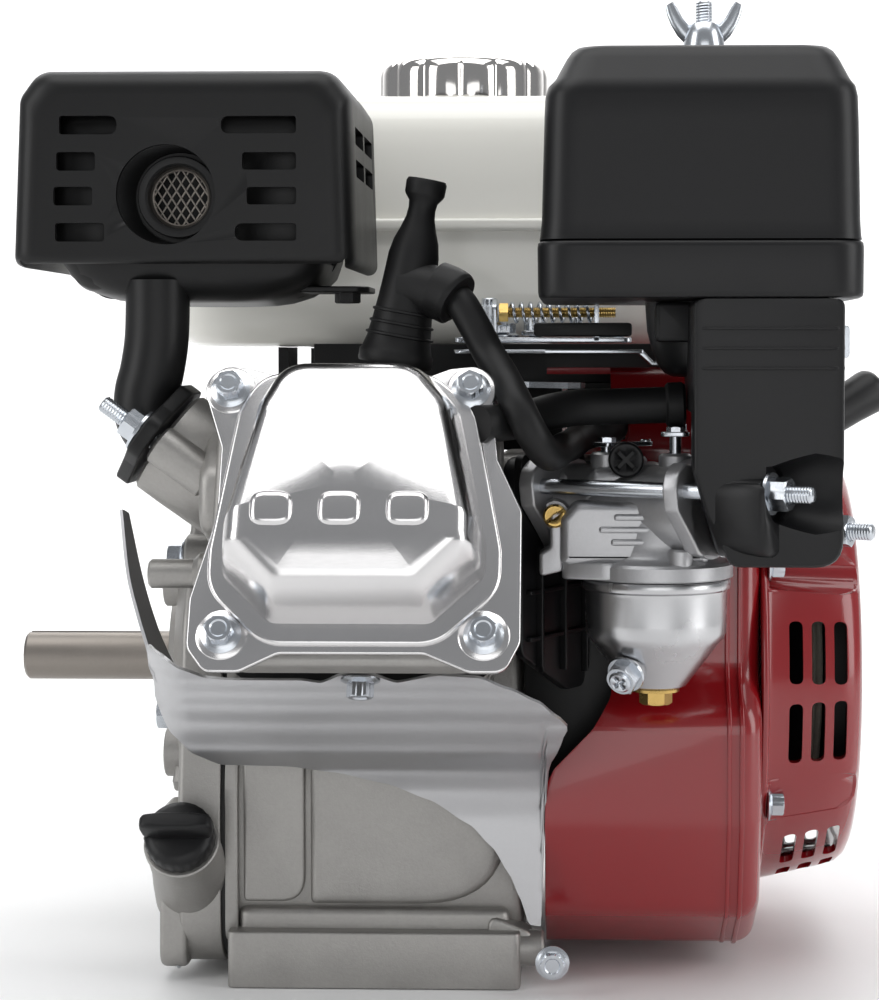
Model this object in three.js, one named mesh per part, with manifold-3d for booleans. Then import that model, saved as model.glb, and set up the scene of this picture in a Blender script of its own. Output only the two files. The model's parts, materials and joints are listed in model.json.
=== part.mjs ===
// Small four-stroke gasoline engine: one inclined air-cooled cylinder, overhead valves, horizontal crankshaft,
// recoil starter, fuel tank, muffler and air cleaner. Every piece is a named mesh in the engine's own frame:
// millimetres, X along the crankshaft (+X is the starter side, -X the drive side), -Y the cylinder side, Z up,
// origin in the middle of the base's underside.
import * as THREE from "three";
import { mergeVertices } from "three/addons/utils/BufferGeometryUtils.js";
import Module from "manifold-3d";

const wasm = await Module();
wasm.setup();

// ---------------------------------------------------------------- driving dimensions
const GAP = 0.3; // between pieces that touch
const CRANK_Z = 106; // height of the crankshaft over the base
const LEAN = THREE.MathUtils.degToRad(25); // rise of the cylinder's axis towards -Y
const BORE_R = 34;
const STROKE = 45;
const ROD_LENGTH = 84; // connecting rod, centre to centre
const DECK = 130; // crank axis to the cylinder's top face
const HEAD_TOP = 178.3; // crank axis to the valve cover's seat
const SHAFT_R = 19.05 / 2;
const SHAFT_END_X = -145.5;
const JOURNAL_R = 12.5;
const CASE = { left: -54, right: 52, inner: 72, outer: 80 }; // crankcase, X ends and radii round the crank
const BASE = { x: 52.5, front: -95, back: 97, top: 20 };
const PTO_FACE_X = -84.5;
const FAN = { left: 60.5, right: 137, front: -100, back: 104, bottom: 8, top: 220, wall: 3 };
const RECOIL = { left: 137.4, face: 175, radius: 86, faceRadius: 76, wall: 3 };
const TANK = { left: -92, right: 130, front: -10, back: 150, bottom: 228, seam: 275, top: 327, wall: 2.5 };
const FILLER = { x: 24, y: 72, r: 24 };
const CLEANER = { left: 60, right: 163, front: -165, back: -50, floor: 243, rim: 261.5, top: 325, wall: 2.5 };
const MUFFLER = { left: -117, right: -4, front: -140, back: -40, bottom: 254, top: 320 };
const OUTLET = { x: -58.8, z: 277.3, r: 13.7, bore: 10.4 };
const PORT_ANGLE = THREE.MathUtils.degToRad(28); // how far the carburettor's bore is turned towards -Y
const PORT_ORIGIN = [149, -147.5, 173]; // on the carburettor's bore, in the plane of its nuts
const STUD = { t: 21.1, h: -7.25 }; // carburettor studs, either side of the bore
const BOWL = { x: 98.7, y: -115, r: 24, top: 148.6, bottom: 124.6 };

// ---------------------------------------------------------------- solids
function solid(geometry) {
  const bare = geometry.clone();
  bare.deleteAttribute("normal");
  bare.deleteAttribute("uv");
  const merged = mergeVertices(bare, 1e-4);
  const vertProperties = new Float32Array(merged.attributes.position.array);
  const triVerts = new Uint32Array(merged.index.array);
  return new wasm.Manifold(new wasm.Mesh({ numProp: 3, vertProperties, triVerts }));
}

// Round pieces keep hexagons and get coarser otherwise: their fine surface isn't needed here.
const coarse = (sides) => (sides <= 8 ? sides : Math.max(8, 2 * Math.round(sides * 0.22)));
const join = (first, ...rest) => rest.reduce((a, b) => a.add(b), first);
const cut = (first, ...rest) => rest.reduce((a, b) => a.subtract(b), first);

// A frame with its own z along zAxis and x along xAxis.
function frameAt(origin, zAxis, xAxis) {
  const z = new THREE.Vector3(...zAxis).normalize();
  const y = new THREE.Vector3().crossVectors(z, new THREE.Vector3(...xAxis)).normalize();
  const x = new THREE.Vector3().crossVectors(y, z);
  return new THREE.Matrix4().makeBasis(x, y, z).setPosition(...origin);
}
const UPRIGHT = new THREE.Matrix4();
const SIDE = frameAt([0, 0, 0], [1, 0, 0], [0, 1, 0]); // drawn in Y, Z and pushed along X
const FRONT = frameAt([0, 0, 0], [0, -1, 0], [1, 0, 0]); // drawn in X, Z and pushed along -Y
const CYLINDER = frameAt([0, 0, CRANK_Z], [0, -Math.cos(LEAN), Math.sin(LEAN)], [1, 0, 0]);
const PORT = frameAt(PORT_ORIGIN, [Math.cos(PORT_ANGLE), -Math.sin(PORT_ANGLE), 0],
  [Math.sin(PORT_ANGLE), Math.cos(PORT_ANGLE), 0]);

// A flat outline pushed from low to high along the frame's z. With a bevel, both ends draw in by it, rounded in steps.
function prism(frame, points, low, high, bevel = 0, steps = 2) {
  const shape = new THREE.Shape(points.map(([x, y]) => new THREE.Vector2(x, y)));
  if (!bevel) {
    const plain = new THREE.ExtrudeGeometry(shape, { depth: high - low, bevelEnabled: false });
    return solid(plain.translate(0, 0, low).applyMatrix4(frame));
  }
  const levels = 2 * steps + 1;
  const geometry = new THREE.ExtrudeGeometry(shape, { depth: levels, steps: levels, bevelEnabled: false });
  const box2 = new THREE.Box2().setFromPoints(points.map(([x, y]) => new THREE.Vector2(x, y)));
  const middle = box2.getCenter(new THREE.Vector2());
  const half = box2.getSize(new THREE.Vector2()).divideScalar(2);
  const at = geometry.attributes.position;
  for (let i = 0; i < at.count; i += 1) {
    const level = Math.round(at.getZ(i));
    const turn = (Math.min(level, levels - level) / steps) * (Math.PI / 2);
    const inset = bevel * (1 - Math.sin(turn));
    const rise = bevel * (1 - Math.cos(turn));
    at.setXYZ(i, middle.x + (at.getX(i) - middle.x) * (1 - inset / half.x),
      middle.y + (at.getY(i) - middle.y) * (1 - inset / half.y), level <= steps ? low + rise : high - rise);
  }
  return solid(geometry.applyMatrix4(frame));
}

// A prism whose outline shrinks towards its top as shrinkAt(share of the height) says.
function domed(frame, points, low, high, shrinkAt, steps = 4) {
  const shape = new THREE.Shape(points.map(([x, y]) => new THREE.Vector2(x, y)));
  const geometry = new THREE.ExtrudeGeometry(shape, { depth: high - low, steps, bevelEnabled: false });
  const middle = new THREE.Vector2();
  points.forEach(([x, y]) => middle.add(new THREE.Vector2(x, y).divideScalar(points.length)));
  const at = geometry.attributes.position;
  for (let i = 0; i < at.count; i += 1) {
    const k = shrinkAt(at.getZ(i) / (high - low));
    at.setXY(i, middle.x + (at.getX(i) - middle.x) * k, middle.y + (at.getY(i) - middle.y) * k);
  }
  return solid(geometry.translate(0, 0, low).applyMatrix4(frame));
}
const roundOver = (share) => 1 - 0.27 * share ** 3.2 - 0.03 * share;

// The points of a polygon with its corners rounded.
function rounded(points, radius, steps = 3) {
  const made = [];
  const pieces = steps > 3 ? 2 : 1;
  points.forEach(([x, y], i) => {
    const here = new THREE.Vector2(x, y);
    const before = new THREE.Vector2(...points.at(i - 1)).sub(here);
    const after = new THREE.Vector2(...points[(i + 1) % points.length]).sub(here);
    const reach = Math.min(radius, before.length() * 0.48, after.length() * 0.48);
    const start = here.clone().addScaledVector(before.normalize(), reach);
    const end = here.clone().addScaledVector(after.normalize(), reach);
    const bend = new THREE.QuadraticBezierCurve(start, here, end);
    bend.getPoints(pieces).forEach((p) => made.push([p.x, p.y]));
  });
  return made;
}

const rectangle = (x0, y0, x1, y1) => [[x0, y0], [x1, y0], [x1, y1], [x0, y1]];

function box(x0, x1, y0, y1, z0, z1, frame = UPRIGHT) {
  const geometry = new THREE.BoxGeometry(x1 - x0, y1 - y0, z1 - z0);
  return solid(geometry.translate((x0 + x1) / 2, (y0 + y1) / 2, (z0 + z1) / 2).applyMatrix4(frame));
}

// A profile of [radius, height] pairs turned round the frame's z.
function turned(frame, profile, sides = 32) {
  const facets = coarse(sides);
  const closed = profile[0][0] > 0 ? [...profile, profile[0]] : profile;
  const geometry = new THREE.LatheGeometry(closed.map(([r, h]) => new THREE.Vector2(r, h)), facets);
  return solid(geometry.rotateX(Math.PI / 2).applyMatrix4(frame));
}

// A round bar between two points.
function bar(from, to, radius, sides = 20, endRadius = radius) {
  const a = new THREE.Vector3(...from);
  const b = new THREE.Vector3(...to);
  const along = b.clone().sub(a);
  const across = Math.abs(along.clone().normalize().x) < 0.9 ? [1, 0, 0] : [0, 1, 0];
  const frame = frameAt(from, along.toArray(), across);
  return turned(frame, [[0, 0], [radius, 0], [endRadius, along.length()], [0, along.length()]], sides);
}

// A round bar between two points of a frame.
function barIn(frame, from, to, radius, sides = 20) {
  const at = (p) => new THREE.Vector3(...p).applyMatrix4(frame).toArray();
  return bar(at(from), at(to), radius, sides);
}

// A tube or cord along a smooth curve through the points.
function swept(points, radius, sides = 10, steps = 40) {
  const path = new THREE.CatmullRomCurve3(points.map((p) => new THREE.Vector3(...p)));
  const facets = Math.max(8, coarse(sides));
  const ring = Array.from({ length: facets }, (_, i) => {
    const a = (2 * Math.PI * i) / facets;
    return new THREE.Vector2(radius * Math.cos(a), radius * Math.sin(a));
  });
  return solid(new THREE.ExtrudeGeometry(new THREE.Shape(ring), { steps, extrudePath: path }));
}

// A hexagon-head bolt along the frame's z: washer face at 0, head above it, shank below.
function flangeBolt(frame, shankRadius, length, acrossFlats = 8, flangeRadius = 6.3) {
  const hexRadius = acrossFlats / Math.sqrt(3);
  return join(
    turned(frame, [[0, 0], [flangeRadius, 0], [flangeRadius * 0.9, 1.6], [0, 1.6]], 20),
    turned(frame, [[0, 1], [hexRadius, 1], [hexRadius, 5], [hexRadius * 0.85, 5.8], [0, 5.8]], 6),
    turned(frame, [[0, -length], [shankRadius, -length], [shankRadius, 0.5], [0, 0.5]], 12),
  );
}

// A toothed wheel in the side frame, from x0 to x1.
function gear(y, z, x0, x1, teeth, pitchRadius, phase) {
  const depth = (0.8 * 2 * pitchRadius) / teeth;
  const outline = [];
  for (let i = 0; i < teeth; i += 1) {
    for (const [share, rise] of [[-0.3, -1.2], [-0.12, 0.9], [0.12, 0.9], [0.3, -1.2]]) {
      const a = (2 * Math.PI * (i + share + phase)) / teeth;
      const r = pitchRadius + rise * depth;
      outline.push([y + r * Math.cos(a), z + r * Math.sin(a)]);
    }
  }
  return prism(SIDE, outline, x0, x1);
}

// ---------------------------------------------------------------- finishes
const FINISH = {
  cast: { color: 0x9c9a95, roughness: 0.55, metalness: 0.8 },
  bright: { color: 0xc8c9ca, roughness: 0.28, metalness: 1 },
  plated: { color: 0xb9bdc2, roughness: 0.3, metalness: 1 },
  steel: { color: 0x7a7068, roughness: 0.4, metalness: 1 },
  brass: { color: 0xb08a45, roughness: 0.35, metalness: 1 },
  black: { color: 0x1d1d1e, roughness: 0.45, metalness: 0 },
  heatBlack: { color: 0x202020, roughness: 0.6, metalness: 0.3 },
  rubber: { color: 0x17171a, roughness: 0.6, metalness: 0 },
  red: { color: 0x8e1a22, roughness: 0.22, metalness: 0 },
  ivory: { color: 0xdedcd2, roughness: 0.25, metalness: 0 },
  foam: { color: 0x55524a, roughness: 0.95, metalness: 0 },
};

const engine = new THREE.Group();
function piece(name, made, finish) {
  const { vertProperties, triVerts, numProp } = made.getMesh();
  const count = vertProperties.length / numProp;
  const position = new Float32Array(count * 3);
  for (let i = 0; i < count; i += 1) position.set(vertProperties.subarray(i * numProp, i * numProp + 3), i * 3);
  const geometry = new THREE.BufferGeometry();
  geometry.setAttribute("position", new THREE.BufferAttribute(position, 3));
  geometry.setIndex(new THREE.BufferAttribute(new Uint32Array(triVerts), 1));
  geometry.computeVertexNormals();
  const mesh = new THREE.Mesh(geometry, new THREE.MeshStandardMaterial(FINISH[finish]));
  mesh.name = name;
  engine.add(mesh);
}

const ring = (radius, sides, y = 0, z = CRANK_Z) => Array.from({ length: coarse(sides) }, (_, i) => {
  const a = (2 * Math.PI * i) / coarse(sides);
  return [y + radius * Math.cos(a), z + radius * Math.sin(a)];
});
const disc = (x0, x1, radius, sides = 40, y = 0, z = CRANK_Z) => prism(SIDE, ring(radius, sides, y, z), x0, x1);

// ---------------------------------------------------------------- crankcase and cylinder, one casting
const CAM = { y: -45, z: 80.7 };
const FINS = [100, 109, 118];
const PTO_BOLTS = [45, 135, 225, 315].map((deg) => {
  const a = THREE.MathUtils.degToRad(deg);
  return [46 * Math.cos(a), CRANK_Z + 46 * Math.sin(a)];
});
const COVER_OUTLINE = rounded([[-88, 3], [88, 3], [90, 60], [84, 130], [45, 184], [-45, 184], [-80, 128],
  [-90, 60]], 26, 4);

const PORT_FACE = -104.2; // plane of the head's inlet port, in the carburettor's frame
const portClearance = () => box(-29, 29, -70, 24, PORT_FACE, -70, PORT);
function crankcase() {
  const walls = prism(SIDE, rounded([[-86, 12], [88, 12], [88, 60], [82, 130], [44, 182], [-44, 182],
    [-78, 128], [-86, 66]], 24, 4), CASE.left, CASE.right);
  const base = box(-BASE.x, BASE.x, BASE.front, BASE.back, 0, BASE.top);
  const barrel = turned(CYLINDER, [[0, 60], [42, 60], [42, DECK - GAP], [0, DECK - GAP]], 40);
  const fins = FINS.map((w) => prism(CYLINDER, rounded(rectangle(-47, -46, 50, 46), 12), w, w + 2.4));
  const deck = prism(CYLINDER, rounded(rectangle(-46, -48, 49, 45), 12), DECK - 6, DECK - GAP);
  const inside = prism(SIDE, rounded([[-76, 22], [80, 22], [80, 60], [72, 128], [38, 172], [-38, 172], [-70, 124],
    [-76, 66]], 22, 4), CASE.left - 1, CASE.right - 8);
  const bore = turned(CYLINDER, [[0, 30], [BORE_R, 30], [BORE_R, DECK + 1], [0, DECK + 1]], 48);
  const hub = disc(CASE.right - 1, FAN.left - 2, 30);
  const pushrods = [-14, 14].map((x) => barIn(CYLINDER, [x, -42, 20], [x, -42, DECK + 1], 5, 12));
  const slots = [-1, 1].flatMap((sx) => [-81, 81].map((y) =>
    prism(UPRIGHT, rounded(rectangle(sx * 37.75 - 8, y - 4.5, sx * 37.75 + 8, y + 4.5), 4.5), -1, BASE.top + 1)));
  const laps = [[BASE.front + 26, -12], [12, BASE.back - 26]].map(([y0, y1]) =>
    box(-BASE.x + 8, BASE.x - 8, y0, y1, -1, 8));
  const shaft = disc(CASE.left, FAN.left, JOURNAL_R + 0.4, 40);
  const governor = bar([40, -20, 160], [40, -20, 200], 3.6, 12);
  const camPocket = disc(CASE.left - 1, -29, 38.5, 40, CAM.y, CAM.z);
  const made = cut(join(walls, base, barrel, ...fins, deck, hub), inside, bore, ...pushrods, shaft, ...laps, governor,
    camPocket, portClearance());
  return cut(made, ...slots);
}
piece("crankcase", crankcase(), "cast");

const OIL_NECK = { from: [-67, -74, 32], to: [-67.3, -102, 53.6] };
function crankcaseCover() {
  const left = CASE.left - 0.5;
  const flange = prism(SIDE, COVER_OUTLINE, -71, left);
  const dome = turned(SIDE.clone().setPosition(0, 0, CRANK_Z), [[0, -79], [50, -79], [66, -71], [66, left - 1],
    [0, left - 1]], 40);
  const nose = disc(PTO_FACE_X, -78, 31);
  const bosses = PTO_BOLTS.map(([y, z]) => disc(PTO_FACE_X, -70, 9.5, 20, y, z));
  const neck = bar(OIL_NECK.from, OIL_NECK.to, 13, 24);
  const lowerLeft = prism(SIDE, rounded([[-90, 14], [-60, 14], [-56, 62], [-84, 62]], 8), -82, -70);
  const inside = disc(-66, left + 1, 60);
  const pocket = disc(-79, -60, 26.4);
  const hole = disc(PTO_FACE_X - 1, -60, JOURNAL_R + 0.4, 40);
  const taps = PTO_BOLTS.map(([y, z]) => disc(PTO_FACE_X - 1, -71, 3.4, 12, y, z));
  const bolts = [disc(-90, left + 1, 3.6, 12, -79, 10), disc(-90, -71, 8.8, 20, -79, 10)];
  const filler = bar([-67, -60, 21.2], [-67.4, -106, 56.7], 8.5, 20);
  const casting = cut(join(flange, dome, nose, ...bosses, lowerLeft, neck), inside, pocket, hole);
  return cut(casting, ...taps, ...bolts, filler);
}
piece("crankcase_cover", crankcaseCover(), "cast");

// The oil cap with its grip across the top and its dipstick, drawn from the end of the slanting neck outwards.
function oilFillerCap() {
  const mouth = frameAt(OIL_NECK.to, [0, -0.7915, 0.6112], [1, 0, 0]);
  const cap = turned(mouth, [[0, -44], [3, -44], [3, -14], [7.6, -12], [7.6, GAP], [12.4, GAP], [12.4, 6.5],
    [9, 9.5], [0, 9.5]], 32);
  const grip = prism(mouth, rounded([[-13, -3.6], [13, -3.6], [13, 3.6], [-13, 3.6]], 2.4, 2), 8, 17.5, 1.2);
  return join(cap, grip);
}
piece("oil_filler_cap", oilFillerCap(), "black");
piece("main_bearing", cut(disc(-78.6, -66.4, 26), disc(-80, -60, JOURNAL_R + 0.4, 40)), "steel");

piece("cover_bolt", flangeBolt(frameAt([-71.3, -79, 10], [-1, 0, 0], [0, 1, 0]), 3, 16, 10, 7.2), "plated");

// ---------------------------------------------------------------- cylinder head, valve cover and their bolts
const COVER_V = -8.2; // middle of the valve cover, off the cylinder's axis
const VALVE_BOLTS = [[-42, 42], [37, 42], [-40, -42], [42.5, -42]];
const EXHAUST = { at: [-67.5, -125, 196], out: [-0.81, 0, 0.59] };
const EXHAUST_FRAME = frameAt(EXHAUST.at, EXHAUST.out, [0, 1, 0]);
const PLUG = frameAt([8, -123, 212], [0.177, 0, 0.984], [1, 0, 0]);

const BREATHER = [[39.5, -156, 202.3], [44, -151, 202.4], [50, -142, 202.8], [57, -133, 204], [64, -127, 205.8],
  [73, -123, 207], [84, -121.5, 207.2], [96, -121, 207.6], [108.4, -121, 208]];
const tubeRoom = () => swept(BREATHER, 6.9, 16, 12);
function cylinderHead() {
  const block = prism(CYLINDER, rounded(rectangle(-46, -46, 49, 38), 10), DECK + 1.2, HEAD_TOP - 9);
  const crown = prism(CYLINDER, rounded([[-46, -59], [49, -59], [49, -5], [43, 12], [43, 38], [-46, 38]], 14),
    HEAD_TOP - 10, HEAD_TOP - GAP);
  const grooves = [139, 152].map((w) => cut(
    prism(CYLINDER, rectangle(-60, -70, 70, 60), w, w + 5),
    prism(CYLINDER, rectangle(-34, -42, 38, 32), w - 1, w + 6),
  ));
  const exhaust = turned(EXHAUST_FRAME, [[0, -36], [19, -36], [19, -0.4], [0, -0.4]], 28);
  const belowDeck = prism(CYLINDER, rectangle(-90, -90, 51.5, 90), -60, DECK + 1.2);
  const inlet = cut(box(44, 74, -150, -72, 154, 192), box(-60, 60, -60, 60, PORT_FACE, 0, PORT), belowDeck);
  const plugSeat = turned(PLUG, [[0, -24], [15, -24], [15, -0.4], [0, -0.4]], 24);
  const leftBoss = bar([-40, -142, 152], [-71, -142, 152], 5, 16);
  const baffleBoss = bar([0.5, -150, 136], [0.5, -150, 121.2], 6.5, 20);
  const chamber = turned(CYLINDER, [[0, DECK], [27, DECK], [24, DECK + 8], [0, DECK + 8]], 32);
  const rockers = prism(CYLINDER, rounded(rectangle(-30, -50, 33, 26), 10), HEAD_TOP - 8, HEAD_TOP + 1);
  const outlet = turned(EXHAUST_FRAME, [[0, -44], [9, -44], [9, 1], [0, 1]], 20);
  const intake = turned(PORT, [[0, -128], [9, -128], [9, -100], [0, -100]], 20);
  const studHoles = [-1, 1].map((side) => barIn(PORT, [side * STUD.t, side * STUD.h, -116],
    [side * STUD.t, side * STUD.h, -100], 3.4, 12));
  const exhaustHoles = [-20, 20].map((t) => barIn(EXHAUST_FRAME, [t, 0, -14], [t, 0, 1], 3.6, 12));
  const exhaustEars = [-20, 20].map((t) => barIn(EXHAUST_FRAME, [t, 0, -24], [t, 0, -0.4], 7, 16));
  const plugHole = turned(PLUG, [[0, -24], [5.9, -24], [5.9, -0.3], [15, -0.3], [15, 50], [0, 50]], 16);
  const coverHoles = VALVE_BOLTS.map(([x, v]) => barIn(CYLINDER, [x, COVER_V + v, HEAD_TOP - 16],
    [x, COVER_V + v, HEAD_TOP + 1], 3.6, 12));
  const baffleHole = bar([0.5, -150, 134], [0.5, -150, 119], 3.6, 12);
  const solidParts = join(cut(block, ...grooves), crown, cut(exhaust, belowDeck), inlet, cut(plugSeat, belowDeck),
    leftBoss, baffleBoss, ...exhaustEars.map((ear) => cut(ear, belowDeck)));
  const hollow = cut(solidParts, portClearance(), tubeRoom(), chamber, rockers, outlet, intake, plugHole, baffleHole);
  return cut(hollow, ...studHoles, ...exhaustHoles, ...coverHoles);
}
piece("cylinder_head", cylinderHead(), "cast");

function headGasket() {
  const plate = prism(CYLINDER, rounded(rectangle(-45, -50, 48, 41), 10), DECK, DECK + 0.9);
  return cut(plate, portClearance(), turned(CYLINDER, [[0, DECK - 1], [36, DECK - 1], [36, DECK + 2],
    [0, DECK + 2]], 32));
}
piece("head_gasket", headGasket(), "heatBlack");

const COVER_EARS = [[-50, 40], [-50, 46], [-44, 51], [-36, 50], [-22, 46], [20, 46], [30, 50], [39, 51], [44.5, 46],
  [44.5, 34], [46, 18], [54, 0], [54, -44], [49, -54], [38, -54], [24, -48], [-22, -48], [-34, -54], [-45, -54],
  [-51, -46], [-51, -30], [-44, -2], [-44, 22]];
const DOME = [[-30, 44], [24, 44], [36, 34], [43, -14], [43, -26], [26, -42], [-26, -42], [-41, -26], [-41, -14],
  [-36, 34]];
function valveCover() {
  const place = ([x, v]) => [x, v + COVER_V];
  const seat = HEAD_TOP + GAP;
  const flange = prism(CYLINDER, rounded(COVER_EARS.map(place), 5), seat, seat + 2);
  const dome = domed(CYLINDER, rounded(DOME.map(place), 10), seat + 1, seat + 30, roundOver);
  const inner = domed(CYLINDER, rounded(DOME.map(([x, v]) => place([x * 0.93, v * 0.93])), 9), seat - 2,
    seat + 27, roundOver);
  const holes = VALVE_BOLTS.map((b) => {
    const [x, v] = place(b);
    return barIn(CYLINDER, [x, v, seat - 1], [x, v, seat + 4], 3.3, 12);
  });
  return cut(join(cut(flange, tubeRoom()), dome), inner, ...holes);
}
piece("valve_cover", valveCover(), "bright");
VALVE_BOLTS.forEach(([x, v], i) => {
  const seat = new THREE.Matrix4().makeTranslation(x, v + COVER_V, HEAD_TOP + GAP + 2 + GAP);
  piece(`valve_cover_bolt_${i + 1}`, flangeBolt(CYLINDER.clone().multiply(seat), 3, 14), "plated");
});

// ---------------------------------------------------------------- sheet baffle under the cylinder
function baffle() {
  const outer = [[-159, 119.4], [-143, 117.6], [-138, 108], [-122, 90.5], [-104, 80], [-98.5, 62], [-98.5, 24]];
  const inner = [[-97.2, 24], [-97.2, 62.4], [-103, 81], [-121, 91.7], [-136.6, 109], [-142, 119], [-159, 120.8]];
  const sheet = prism(SIDE, [...outer, ...inner], -72, 69);
  const lower = [[-70, 94], [-60, 84], [-49, 82], [-25, 81], [3, 75.5], [24, 67], [38, 56], [47, 45], [53, 34],
    [58, 24]];
  const outline = rounded([...lower, [59.5, 24], [59.5, 80], [64, 90], [68, 98], [62, 105], [49, 113], [30, 124],
    [-58, 124], [-68, 121]], 6, 2);
  const face = cut(sheet, box(-80, 80, -170, -90, 20, 130)).add(
    sheet.intersect(prism(FRONT, outline, 90, 170)));
  const wing = prism(FRONT, rounded([[-70, 92], [-58, 92], [-58, 112], [-66, 122], [-72, 140], [-84, 168],
    [-86, 172], [-82, 148], [-75.5, 132], [-74.5, 118]], 3, 2), 110, 111.4);
  const strap = prism(FRONT, rounded([[-70, 92], [-55, 86], [-55, 100], [-60, 110], [-70, 112]], 3, 2), 110, 126);
  const joined = join(face, wing, cut(strap, prism(SIDE, [[-150, 60], [-121, 91.5], [-104, 80], [-104, 60]],
    -90, -40), prism(FRONT, rectangle(-68.6, 80, -40, 130), 109, 124.6)));
  return cut(joined, bar([0.5, -150, 110], [0.5, -150, 125], 3.3, 12));
}
piece("cylinder_baffle", baffle(), "bright");
piece("baffle_bolt", flangeBolt(frameAt([0.5, -150, 117.6], [0, 0, -1], [1, 0, 0]), 3, 12), "plated");

// ---------------------------------------------------------------- crank train
const WEB = { r: 38, inner: 10, outer: 21 };
const drivenEnd = frameAt([0, 0, CRANK_Z], [-1, 0, 0], [0, 1, 0]);
const GEAR_TEETH = 18;
// A crank tooth and a cam gap meet on the line between the two shafts.
const towardsCam = Math.atan2(CAM.z - CRANK_Z, CAM.y) / (2 * Math.PI) + 1;
const MESH = { crank: (towardsCam * GEAR_TEETH) % 1, cam: ((towardsCam - 0.5) * 2 * GEAR_TEETH + 0.5) % 1 };
function crankDriveHalf() {
  const shaft = turned(drivenEnd, [[0, WEB.inner], [WEB.r, WEB.inner], [WEB.r, WEB.outer], [JOURNAL_R + 3, WEB.outer],
    [JOURNAL_R + 3, 30], [JOURNAL_R, 30], [JOURNAL_R, 84], [SHAFT_R + 0.6, 86], [SHAFT_R, 88],
    [SHAFT_R, -SHAFT_END_X - 1.2], [SHAFT_R - 1.2, -SHAFT_END_X], [0, -SHAFT_END_X]], 40);
  const wheel = cut(gear(0, CRANK_Z, -40, -31, GEAR_TEETH, 17.2, MESH.crank), disc(-41, -30, 11));
  const keyway = box(SHAFT_END_X - 1, -100, -2.4, 2.4, CRANK_Z + 7, CRANK_Z + 12);
  const tap = disc(SHAFT_END_X - 1, SHAFT_END_X + 22, 3.4, 12);
  return cut(join(shaft, wheel), keyway, tap);
}
function crankFanHalf() {
  const tip = frameAt([0, 0, CRANK_Z], [1, 0, 0], [0, 1, 0]);
  return turned(tip, [[0, WEB.inner], [WEB.r, WEB.inner], [WEB.r, WEB.outer], [JOURNAL_R, WEB.outer],
    [JOURNAL_R, 62], [9, 84], [6, 84.3], [6, 116], [0, 116]], 40);
}
piece("crankshaft_drive_half", crankDriveHalf(), "steel");
piece("crankshaft_fan_half", crankFanHalf(), "steel");

const VANES = 8;
function flywheel() {
  const rim = cut(disc(64, 84, 80, 48), disc(70, 90, 68, 40), disc(60, 90, 13.2, 32));
  const hub = cut(disc(64, 88, 24, 32), disc(60, 90, 13.2, 32));
  const vanes = Array.from({ length: VANES }, (_, i) => {
    const turn = new THREE.Matrix4().makeRotationX((2 * Math.PI * i) / VANES);
    const blade = box(83, 98, -2, 2, 54, 80);
    return blade.add(box(69.5, 84, -2, 2, 60, 72)).transform(
      new THREE.Matrix4().makeTranslation(0, 0, CRANK_Z).multiply(turn).elements);
  });
  const plate = cut(disc(82, 85, 80, 48), disc(80, 90, 50, 40));
  const web = cut(disc(64, 68, 74, 40), disc(60, 90, 13.4, 32));
  return join(rim, hub, web, plate, ...vanes);
}
piece("flywheel", flywheel(), "cast");
function starterCup() {
  const cup = cut(disc(99, 130, 42, 36), disc(102, 131, 39, 36), disc(98, 104, 7.2, 20));
  const windows = [0, 120, 240].map((deg) => {
    const turn = new THREE.Matrix4().makeRotationX(THREE.MathUtils.degToRad(deg));
    return box(114, 122, -8, 8, 30, 50).transform(
      new THREE.Matrix4().makeTranslation(0, 0, CRANK_Z).multiply(turn).elements);
  });
  return cut(cup, ...windows);
}
piece("starter_cup", starterCup(), "plated");

function camshaft() {
  const shaft = disc(-50, 40, 7, 20, CAM.y, CAM.z);
  const wheel = gear(CAM.y, CAM.z, -40, -31, 2 * GEAR_TEETH, 34.4, MESH.cam);
  const lobes = [[-18, 60], [12, 200]].map(([x, deg]) => {
    const a = THREE.MathUtils.degToRad(deg);
    return join(disc(x - 4, x + 4, 8.5, 20, CAM.y, CAM.z),
      disc(x - 4, x + 4, 5.5, 16, CAM.y + 4 * Math.cos(a), CAM.z + 4 * Math.sin(a)));
  });
  return join(shaft, wheel, ...lobes);
}
piece("camshaft", camshaft(), "steel");

const PIN_AT = STROKE / 2 + ROD_LENGTH; // wrist pin, with the piston at the top of its stroke
function piston() {
  const body = turned(CYLINDER, [[0, PIN_AT - 11.2], [BORE_R - 0.4, PIN_AT - 11.2], [BORE_R - 0.4, PIN_AT + 22],
    [0, PIN_AT + 22]], 48);
  const grooves = [8, 13].map((w) => cut(
    turned(CYLINDER, [[0, PIN_AT + w], [BORE_R + 2, PIN_AT + w], [BORE_R + 2, PIN_AT + w + 2], [0, PIN_AT + w + 2]], 32),
    turned(CYLINDER, [[0, PIN_AT + w - 1], [BORE_R - 3, PIN_AT + w - 1], [BORE_R - 3, PIN_AT + w + 3],
      [0, PIN_AT + w + 3]], 32)));
  const inside = turned(CYLINDER, [[0, PIN_AT - 19], [BORE_R - 5, PIN_AT - 19], [BORE_R - 5, PIN_AT + 14],
    [0, PIN_AT + 14]], 32);
  const pin = bar(...[-32, 32].map((x) => new THREE.Vector3(x, 0, PIN_AT).applyMatrix4(CYLINDER).toArray()), 9, 20);
  const bosses = [[-31, -11], [11, 31]].map(([a, b]) =>
    barIn(CYLINDER, [a, 0, PIN_AT], [b, 0, PIN_AT], 12, 20));
  return join(cut(body, ...grooves, inside), ...bosses, pin);
}
piece("piston", piston(), "bright");
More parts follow.
